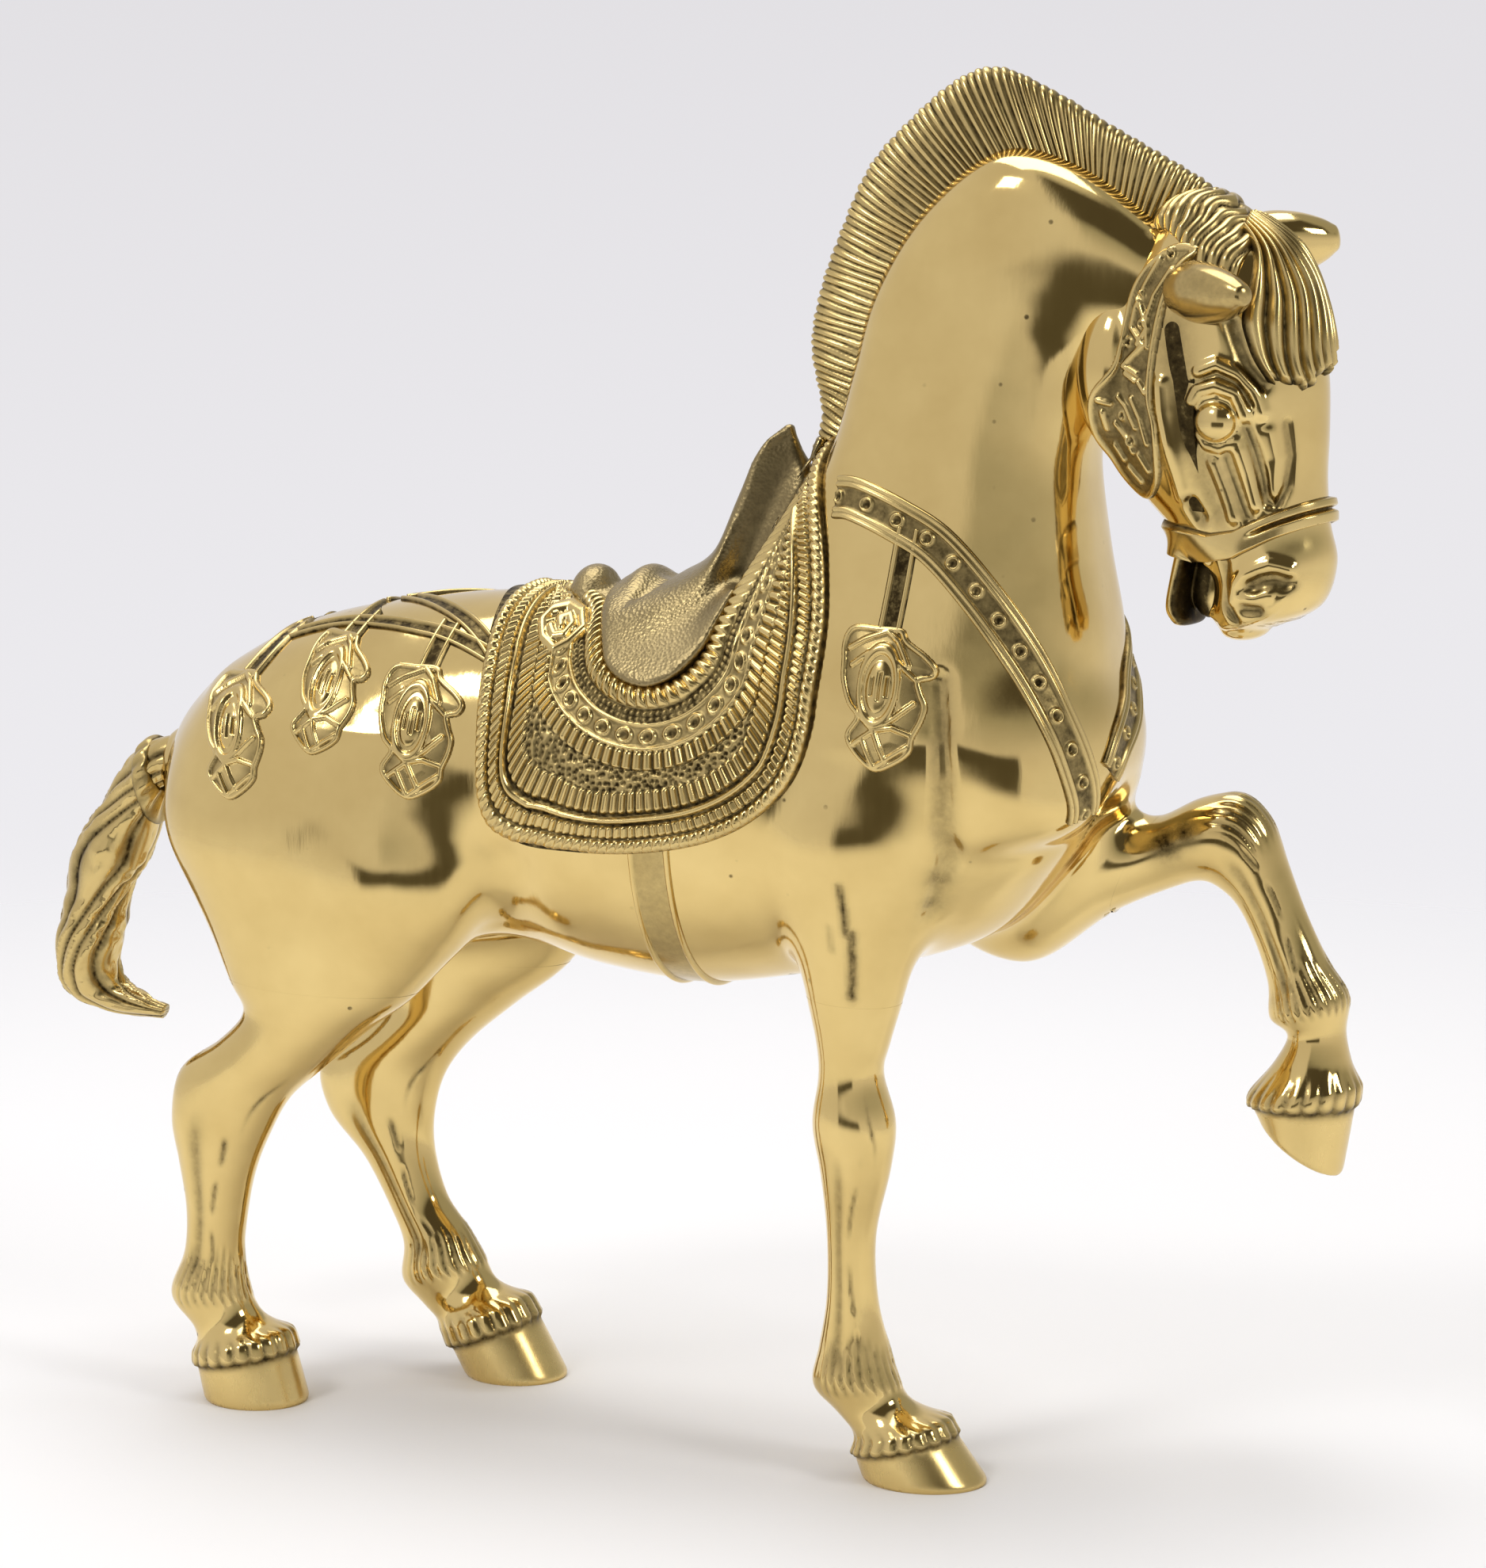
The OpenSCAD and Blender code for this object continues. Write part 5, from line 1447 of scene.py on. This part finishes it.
def dock_piece():
    grid = Grid((-142, -14, 130), (-112, 14, 172), 0.6)
    field = blurred(tail_limb.field(grid), 1)
    i = int(DOCK_STATION * tail_limb.steps)
    middle = np.array((tail_limb.middle[i, 0], 0, tail_limb.middle[i, 1]))
    axis = np.array((tail_limb.normal[i, 0], 0, tail_limb.normal[i, 1]))
    axis = axis / np.linalg.norm(axis)
    side = np.array((0, 1.0, 0))
    turn = np.linspace(0, 2 * np.pi, DOCK_POINTS[0], endpoint=False)[:, None]
    out = np.cos(turn) * np.cross(side, axis) + np.sin(turn) * side
    v = np.linspace(-DOCK_HALF, DOCK_HALF, DOCK_POINTS[1])[None, :]
    begin = middle + out[:, None] * 11 + axis * v[..., None]
    bead = 0.75 + 0.25 * np.cos(DOCK_BEADS * turn + v)
    h = 0.6 + 1.2 * arc(np.clip(np.abs(v), 0, 2.2), 2.2) * bead
    low = np.clip(1 - h / h.max(), 0, 1)
    points, quads, mask = band_shell(grid, field, begin, out, h, DOCK_SINK, low)
    add_piece("dock_band", worked, points, quads, masks={"recess": mask})


dock_piece()


# Tassels: drop strap and plate with raised lines, on the side of the body

# Drawing of a plate, across and down, in millimetres of a plate 33 long
PLATE_LEN = 33
PLATE_EDGE = [
    (3, 0.5), (5, 3), (10, 6), (12.5, 8.5), (11.6, 10.6), (8.8, 11.6), (9.6, 14.4), (11, 17.5),
    (10.6, 21), (9, 25), (8.4, 28.4), (4.4, 31.6), (0, 33), (-5.2, 29), (-7, 25.6), (-4.8, 21.2),
    (-7.4, 18), (-9.6, 13), (-10.2, 8.3), (-10.6, 5.2), (-10, 2.2), (-8, 0.6), (-3, 0.5)]
PLATE_LINES = [
    [(0, 0.8), (3, 3), (6.2, 8.5)], [(0, 0.8), (-5, 3), (-9, 5.6)],
    [(-0.3, 4.9), (3, 7.5), (8, 11.2)], [(-0.3, 4.9), (-4, 6.4), (-7.8, 9.4)],
    [(8.6, 17), (4, 21), (-0.4, 24), (-5.4, 28)], [(-5.4, 20), (-0.4, 24), (3, 31)],
    [(-0.4, 24), (4, 23), (8.6, 24.4)], [(8.2, 27), (4.2, 29.8), (0, 33)], [(-3, 26.4), (0, 32.4)]]
PLATE_OVAL = ((-0.4, 13.8), (4.6, 8.9))
PLATE_BOSS = ((-0.4, 13.8), (3.0, 6.0))
PLATE_SLITS = (-1.9, -0.1, 1.7)
TASSEL_SINK = 1.2
TASSELS = {
    "shoulder_tassel": ((73, 222), (70.5, 200), (69, 169)),
    "rump_tassel_front": ((-44, 193), (-45.5, 184), (-46.5, 155)),
    "rump_tassel_middle": ((-68, 194), (-69.5, 189), (-71, 164)),
    "rump_tassel_rear": ((-89, 190), (-95, 179), (-92, 152)),
}


def oval_distance(u, v, middle, half):
    """Rough distance to an oval line in a plane."""
    k = np.hypot((u - middle[0]) / half[0], (v - middle[1]) / half[1])
    return (k - 1) * min(half)


def plate_height(u, v):
    """Relief of a tassel plate; negative outside its edge."""
    edge = outline_distance(u, v, rounded_outline(PLATE_EDGE, 5))
    dome = 0.2 + 0.75 * np.clip(-edge / 5, 0, 1) ** 0.7
    h = np.where(edge < 0.5, dome, -0.6)
    line = lambda far, half, tall: dome + tall * arc(np.clip(np.abs(far), 0, half), half)
    ridge = line(edge, 0.75, 0.85)
    h = np.where(np.abs(edge) < 0.75, np.maximum(h, ridge), h)
    inside = edge < 0.3
    for stroke in PLATE_LINES:
        far = line_distance(u, v, stroke)
        h = np.where((far < 0.7) & inside, np.maximum(h, line(far, 0.7, 0.85)), h)
    far = oval_distance(u, v, *PLATE_OVAL)
    h = np.where(np.abs(far) < 0.75, np.maximum(h, line(far, 0.75, 1.0)), h)
    boss = oval_distance(u, v, *PLATE_BOSS)
    h = np.where(boss < 0, 0.9 + 1.0 * np.sqrt(np.clip(-boss / 3, 0, 1)), h)
    for slit in PLATE_SLITS:
        cut = bell(u - slit, 0.34) * (np.abs(v - PLATE_BOSS[0][1]) < 3.4 - abs(slit) * 0.6)
        h = np.where(boss < 0, h - 0.8 * cut, h)
    return h


def tassel_shells(start, top, tip, skin):
    """Plate and drop strap of a tassel on the right side of a skin."""
    start, top, tip = (np.array(p, float) for p in (start, top, tip))
    down = (tip - top) / np.linalg.norm(tip - top)
    aside = np.array([-down[1], down[0]])
    scale = np.linalg.norm(tip - top) / PLATE_LEN
    u, v = np.meshgrid(np.linspace(-12.5, 14, 107), np.linspace(-1.5, 34.5, 145), indexing="ij")

    def shell(u, v, height, origin, down, aside, scale):
        place = origin + scale * (u[..., None] * aside + v[..., None] * down)
        base = from_right(body_grid, skin, place[..., 0], place[..., 1])
        h = height(u, v)
        return *raised(body_grid, skin, base, h, TASSEL_SINK), shell_mask(np.clip(1.05 - h / 0.9, 0, 1))

    plate = shell(u, v, plate_height, top, down, aside, scale)
    drop = top + down * 1.0 - start
    length = np.linalg.norm(drop)
    drop /= length
    steps = max(int(length / 0.3), 8)
    u, v = np.meshgrid(np.linspace(-2.8, 2.8, 31), np.linspace(0, length, steps), indexing="ij")
    strap = shell(u, v, lambda a, b: rail_height(2.6)(b, a), start, drop, np.array([-drop[1], drop[0]]), 1.0)
    return [plate, strap]


def tassel_pieces():
    for name, spots in TASSELS.items():
        right = gathered(tassel_shells(*spots, body_skin))
        left = mirrored(gathered(tassel_shells(*spots, np.ascontiguousarray(body_skin[:, ::-1]))))
        for side, (points, quads, mask) in (("_right", right), ("_left", left)):
            add_piece(name + side, worked, points, quads, masks={"recess": mask})


tassel_pieces()


# Cheekpieces: headstall strap and jaw plate on the side of the head

CHEEK_EDGE = [
    (134.1, 285.5), (128.2, 281.3), (124.6, 275.2), (123.2, 266.1), (121.8, 258.9), (116.6, 252),
    (115.8, 244.4), (118.1, 238), (120.8, 232.6), (126.7, 230.2), (131, 234), (132.5, 240), (132.6, 247),
    (131.4, 253), (131.8, 262.8), (133.3, 273.8), (136.2, 281.6), (139.6, 285.2)]
CHEEK_LINES = [
    [(131, 283), (128, 277), (126, 272), (125.4, 267.8), (129.2, 264.2), (123.8, 259.4), (128, 257.8)],
    [(134.6, 281), (131, 275), (129.6, 270), (130.4, 264)],
    [(127.4, 272.7), (130, 268), (127.6, 264.4)], [(124.6, 257.8), (127.4, 256.4)],
    [(128.6, 256.2), (130.4, 254)], [(118, 251.6), (120.8, 251)], [(118.8, 249), (119.2, 245.4)],
    [(122.8, 252.6), (125, 250.4), (127.4, 246)], [(126.6, 252.4), (129, 248), (130.4, 242.6)],
    [(121.6, 246.6), (124.4, 243.6), (126, 240.4)], [(120.4, 241.6), (122.6, 238.4)],
    [(123.6, 236.8), (126.4, 233.6)], [(127.6, 240), (129.6, 236.4)]]
CHEEK_SINK = 1.1
CHEEK_RINGS = [(133.6, 284), (127.2, 274.6), (128.2, 268.8), (124.8, 264.6), (123.6, 248.4), (126, 243)]


def cheek_height(x, z):
    edge = outline_distance(x, z, rounded_outline(CHEEK_EDGE, 5))
    h = np.where(edge < 0.6, 0.35, -0.6)
    h = np.where(np.abs(edge) < 0.8, np.maximum(h, 0.2 + 1.0 * arc(np.clip(np.abs(edge), 0, 0.8), 0.8)), h)
    for stroke in CHEEK_LINES:
        far = line_distance(x, z, stroke)
        line = 0.35 + 0.8 * arc(np.clip(far, 0, 0.75), 0.75)
        h = np.where((far < 0.75) & (edge < 0), np.maximum(h, line), h)
    for ring in CHEEK_RINGS:
        far = np.hypot(x - ring[0], z - ring[1])
        h = h + np.where(edge < 0, 0.5 * bell(far - 0.9, 0.35) - 0.5 * bell(far, 0.5), 0)
    return h


def cheek_pieces():
    x, z = np.meshgrid(np.arange(112.5, 142.5, 0.3), np.arange(227.5, 288, 0.3), indexing="ij")
    base = from_right(head_grid, head_skin, x, z)
    h = cheek_height(x, z)
    shell = *raised(head_grid, head_skin, base, h, CHEEK_SINK), shell_mask(np.clip(1 - h, 0, 1))
    for side, (points, quads, mask) in (("right", shell), ("left", mirrored(shell))):
        add_piece("cheekpiece_" + side, worked, turned(points), quads, masks={"recess": mask})


cheek_pieces()


# Floor, light and camera

FLOOR_R, FLOOR_COLOUR, FLOOR_ROUGH = 3.0, (0.90, 0.895, 0.90, 1), 0.6
# Distances at which the floor starts and ends its fade into the room
FLOOR_FADE = (0.35, 0.85)
# Colours of the room: below and above the horizon, low and high in front, overhead, and low on the near side
ROOM_LOW, ROOM_HIGH = (0.86, 0.85, 0.88, 1), (0.76, 0.745, 0.77, 1)
FRONT_LOW, FRONT_HIGH = (0.42, 0.42, 0.40, 1), (0.09, 0.08, 0.06, 1)
CEILING, NEAR_DARK = (0.72, 0.71, 0.70, 1), (0.10, 0.09, 0.065, 1)
NEAR_WAY = (0.06, -0.98, -0.18)
# Lamps: name, place, what they face, size and energy
LAMPS = [("key", (-0.60, -1.10, 1.50), (0, 0, 0.15), (0.4, 0.4), 6),
         ("front", (1.45, -0.32, 0.98), (0, 0, 0.18), (0.45, 0.45), 6),
         ("top", (-0.2, 0.3, 1.9), (0, 0, 0.15), (1.3, 1.3), 18)]
CAMERA_PLACE, CAMERA_TARGET = (0.4984, -1.1870, 0.3817), (0.0188, 0, 0.156)
LENS, SENSOR = 85, 24


def floor_piece():
    bpy.ops.mesh.primitive_circle_add(vertices=96, radius=FLOOR_R, fill_type="NGON")
    floor = bpy.context.object
    floor.name = "floor"
    m = bpy.data.materials.new("pale_floor")
    m.use_nodes = True
    make = node_maker(m)
    tree = m.node_tree
    paper = tree.nodes["Principled BSDF"]
    paper.inputs["Base Color"].default_value = FLOOR_COLOUR
    paper.inputs["Roughness"].default_value = FLOOR_ROUGH
    paper.inputs["Specular IOR Level"].default_value = 0.2
    place = make("TexCoord").outputs["Object"]
    reach = make("VectorMath", {0: place}, operation="LENGTH").outputs["Value"]
    fade = make("MapRange", {"Value": reach, "From Min": FLOOR_FADE[0], "From Max": FLOOR_FADE[1]},
                interpolation_type="SMOOTHSTEP")
    clear = make("BsdfTransparent")
    mix = make("MixShader", {0: fade.outputs[0], 1: paper.outputs[0], 2: clear.outputs[0]})
    tree.links.new(mix.outputs[0], tree.nodes["Material Output"].inputs["Surface"])
    floor.data.materials.append(m)


def room():
    """World whose colours stand for the walls and the ceiling of a studio."""
    world = bpy.data.worlds.new("studio")
    world.use_nodes = True
    bpy.context.scene.world = world
    make = node_maker(world)
    tree = world.node_tree
    way = make("TexCoord").outputs["Generated"]
    x, y, z = make("SeparateXYZ", {0: way}).outputs

    def between(value, low, high):
        return make("MapRange", {"Value": value, "From Min": low, "From Max": high}).outputs[0]

    def both(first, second):
        return maths(make, "MULTIPLY", first, second)

    def mixed(share, under, over):
        return make("Mix", {"Factor": share, "A": under, "B": over}, data_type="RGBA").outputs["Result"]

    front, near_side = between(x, -0.10, 0.02), between(y, 0.22, 0.02)
    near = make("VectorMath", {0: way, 1: NEAR_WAY}, operation="DOT_PRODUCT").outputs["Value"]
    colour = mixed(between(z, -0.20, -0.02), ROOM_LOW, ROOM_HIGH)
    colour = mixed(both(front, between(z, -0.02, 0.30)), colour, FRONT_LOW)
    colour = mixed(both(both(front, near_side), between(z, 0.30, 0.42)), colour, FRONT_HIGH)
    colour = mixed(between(z, 0.90, 0.97), colour, CEILING)
    colour = mixed(both(between(near, 0.86, 0.90), between(z, 0.02, -0.05)), colour, NEAR_DARK)
    tree.links.new(colour, tree.nodes["Background"].inputs["Color"])
    tree.nodes["Background"].inputs["Strength"].default_value = 1.0


def placed(name, data, place, target):
    """Lamp or camera at a place, facing a target."""
    thing = bpy.data.objects.new(name, data)
    bpy.context.scene.collection.objects.link(thing)
    thing.location = place
    thing.rotation_euler = (Vector(target) - Vector(place)).to_track_quat("-Z", "Y").to_euler()
    return thing


def stage():
    floor_piece()
    room()
    for name, place, target, size, energy in LAMPS:
        light = bpy.data.lights.new(name, "AREA")
        light.shape = "RECTANGLE"
        light.size, light.size_y = size
        light.energy = energy
        placed(name, light, place, target)
    camera = bpy.data.cameras.new("camera")
    camera.lens, camera.sensor_fit, camera.sensor_height = LENS, "VERTICAL", SENSOR
    bpy.context.scene.camera = placed("camera", camera, CAMERA_PLACE, CAMERA_TARGET)
    bpy.context.scene.view_settings.view_transform = "Standard"


stage()
